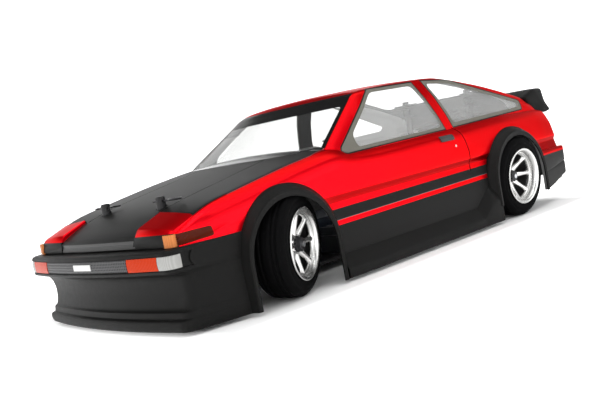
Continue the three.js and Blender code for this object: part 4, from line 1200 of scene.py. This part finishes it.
def corner_lamp(side, hand):
    """A thin lens wrapped round the nose's corner."""
    rings = []
    for x, y in CORNER_PATH:
        section = [(x, y, 50.0), (x, y, 56.9), (x - 1, y + 1.4, 56.9), (x - 1, y + 1.4, 50.0)]
        rings.append([(side * px, py, pz) for px, py, pz in section])
    attach(shade(loft(f"corner_lamp_{hand}", rings, PEACH), 50))


def slot_bar():
    """The dark bar behind the slot in the nose."""
    rings = []
    for x in np.linspace(-46, 46, 25):
        rings.append([(x, y + NOSE_BOW * (x / CREST_X) ** 2, z) for y, z in SLOT_SECTION])
    attach(shade(loft("slot_bar", rings, LAMP_BEZEL)))


for side, hand in SIDES:
    bar_inlay(f"marker_lamp_amber_{hand}", *span(side, 50.3, 75.8), *LAMP_Z, AMBER)
    bar_inlay(f"marker_lamp_white_{hand}", *span(side, 76.2, 92.0), *LAMP_Z, CLEAR_LENS, y_end=-203.8)
for side, hand in SIDES:
    corner_lamp(side, hand)
    corner, flank = span(side, 76, 90), span(side, 70, 100)
    skin_inlay(f"side_lens_{hand}", prism("tool", rounded(SIDE_LENS, 1.5), 0, *corner), SMOKED_LENS)
    skin_inlay(f"door_handle_{hand}", prism("tool", rounded(DOOR_HANDLE, 1.3), 0, *flank), HANDLE, proud=0.9)
    skin_inlay(f"door_lock_{hand}", prism("tool", DOOR_LOCK, 0, *flank), CHROME, proud=0.3)
    skin_inlay(f"tail_lamp_{hand}", tail_block(*span(side, 44, 77)), TAIL_LENS)
skin_inlay("tail_panel", tail_block(-43, 43), LAMP_BEZEL, proud=0.15)
slot_bar()
bar_inlay("bumper_grille", -49.6, 49.6, 39.6, 46.2, MESH, depth=(0.5, LAMP_BAR_DEPTH))
bar_inlay("badge_plate", -7.6, 13.2, 41.2, 44.8, BADGE, depth=(0.1, 0.55))

# ---- everything else keeps its CAD shape ----
KEPT = {
    "rear_wing": BLACK,
    "chassis_plate": plain("woven_plate", (0.018, 0.018, 0.02), 0.35, grain=500, variation=0.4),
    "battery_pack": plain("battery_case", (0.03, 0.04, 0.06), 0.35, grain=600),
    "speed_controller": plain("controller_case", (0.03, 0.03, 0.034), 0.45, grain=900),
    "motor": plain("motor_can", (0.45, 0.46, 0.48), 0.32, metallic=1.0, grain=300),
    "steel": plain("ground_steel", (0.5, 0.51, 0.53), 0.3, metallic=1.0, grain=500),
    "gear": plain("acetal", (0.75, 0.73, 0.66), 0.45, grain=700, variation=0.05),
    "damper": plain("damper_anodised", (0.06, 0.065, 0.07), 0.3, metallic=0.9, grain=500),
}
KEPT["upper_deck"] = KEPT["steering_rack"] = KEPT["chassis_plate"]
KEPT["steering_servo"] = KEPT["speed_controller"]
KEPT["spur_gear"] = KEPT["gear"]
STEEL = ("motor_pinion", "rear_spool", "wheel_axle", "driveshaft", "tie_rod", "shock_shaft")


def kept_material(name):
    if name.startswith(STEEL):
        return KEPT["steel"]
    if name.startswith("shock_body"):
        return KEPT["damper"]
    return WIRE if name.startswith("body_clip") else KEPT.get(name, NYLON)


for name, node in frame["nodes"].items():
    node.data.materials.clear()
    node.data.materials.append(kept_material(name))


# ---- stage ----
# The floor's outline: radius and height in metres.
FLOOR_PROFILE = [
    (0.3, 0), (0.6, 0), (0.9, 0), (1.3, 0), (1.8, 0), (2.1, 0.03), (2.4, 0.14), (2.65, 0.35), (2.8, 0.65),
    (2.85, 1.7),
]


def floor_material():
    """The glow is painted light. It starts just outside the car's outline, which leaves a painted shadow next
    to the car; it fades high on the wall and is dim at the left rear.
    """
    g = Graph("pale_floor")
    x, y, z = g.split()
    beyond_x = g.minus(g.math("ABSOLUTE", x), 0.10)
    beyond_y = g.minus(g.math("ABSOLUTE", y), 0.225)
    # No glow next to the car: the darker floor there is a painted shadow.
    near = g.either(g.between(beyond_x, 0, 1, 0.004, 0.045), g.between(beyond_y, 0, 1, -0.03, 0.005))
    fade = g.between(z, 1.0, 0.15, 0.95, 1.3)
    behind = g.between(g.minus(y, g.times(x, 1.25)), 0, 1, -0.2, 0.35)
    dim = g.between(g.times(g.between(x, 0, 1, 0.15, 0.4), behind), 1.0, 0.12)
    speck = g.noise(6)
    g.set(Base_Color=g.blend(speck, (0.86, 0.86, 0.86), (0.9, 0.9, 0.9)))
    g.set(Roughness=g.between(speck, 0.7, 0.9), Specular_IOR_Level=0.1)
    g.set(Emission_Strength=g.times(g.times(near, fade), dim), Emission_Color=(1, 1, 1, 1))
    return g.material


def build_stage():
    """A pale floor that curves up into a backdrop well away from the car."""
    bm = bmesh.new()
    rings = [[bm.verts.new((*point, z)) for point in circle(0, 0, radius, 64)] for radius, z in FLOOR_PROFILE]
    for low, high in zip(rings, rings[1:]):
        for i in range(len(low)):
            bm.faces.new((low[i - 1], low[i], high[i], high[i - 1]))
    bm.faces.new(rings[0])
    bmesh.ops.recalc_face_normals(bm, faces=bm.faces)
    floor = new_object("floor", bm, floor_material())
    floor.data.shade_smooth()
    world = bpy.data.worlds.new("studio")
    bpy.context.scene.world = world
    world.use_nodes = True
    sky = world.node_tree.nodes["Background"].inputs
    sky["Color"].default_value = (1, 1, 1, 1)
    sky["Strength"].default_value = 0.16


def soft_light(name, position, target, size, power):
    data = bpy.data.lights.new(name, "AREA")
    data.shape = "RECTANGLE"
    data.size, data.size_y = size
    data.energy = power
    lamp = add_object(name, data)
    lamp.location = position
    lamp.rotation_euler = (Vector(target) - Vector(position)).to_track_quat("-Z", "Y").to_euler()


CAMERA_PLACE = (443.6, -440.3, 94.7)
CAMERA_LENS = 47.58
AZIMUTH, ELEVATION, ROLL = (math.radians(angle) for angle in (47.327, 4.303, -10.702))


def build_camera():
    """Looks back along the given azimuth and elevation, then rolls about its own axis."""
    level = math.cos(ELEVATION)
    back = Vector((math.sin(AZIMUTH) * level, -math.cos(AZIMUTH) * level, math.sin(ELEVATION)))
    right = Vector((math.cos(AZIMUTH), math.sin(AZIMUTH), 0))
    up = back.cross(right)
    x = math.cos(ROLL) * right + math.sin(ROLL) * up
    y = -math.sin(ROLL) * right + math.cos(ROLL) * up
    data = bpy.data.cameras.new("camera")
    data.lens = CAMERA_LENS
    data.sensor_width = 36
    camera = add_object("camera", data)
    turn = Matrix((x, y, back)).transposed().to_4x4()
    camera.matrix_world = Matrix.Translation(place(CAMERA_PLACE)) @ turn
    bpy.context.scene.camera = camera


build_stage()
soft_light("overhead", (0.15, -0.7, 1.4), (0, 0, 0.05), (1.8, 1.6), 17)
soft_light("crown", (0.4, 0.35, 1.25), (0.05, 0, 0.05), (1.3, 1.1), 7)
soft_light("right", (1.25, 0.35, 0.6), (0, -0.1, 0.05), (1.3, 0.9), 2.2)
soft_light("front", (0.3, -1.6, 0.8), (0, -0.1, 0.05), (1.2, 0.8), 3)
build_camera()
bpy.context.scene.view_settings.view_transform = "Standard"
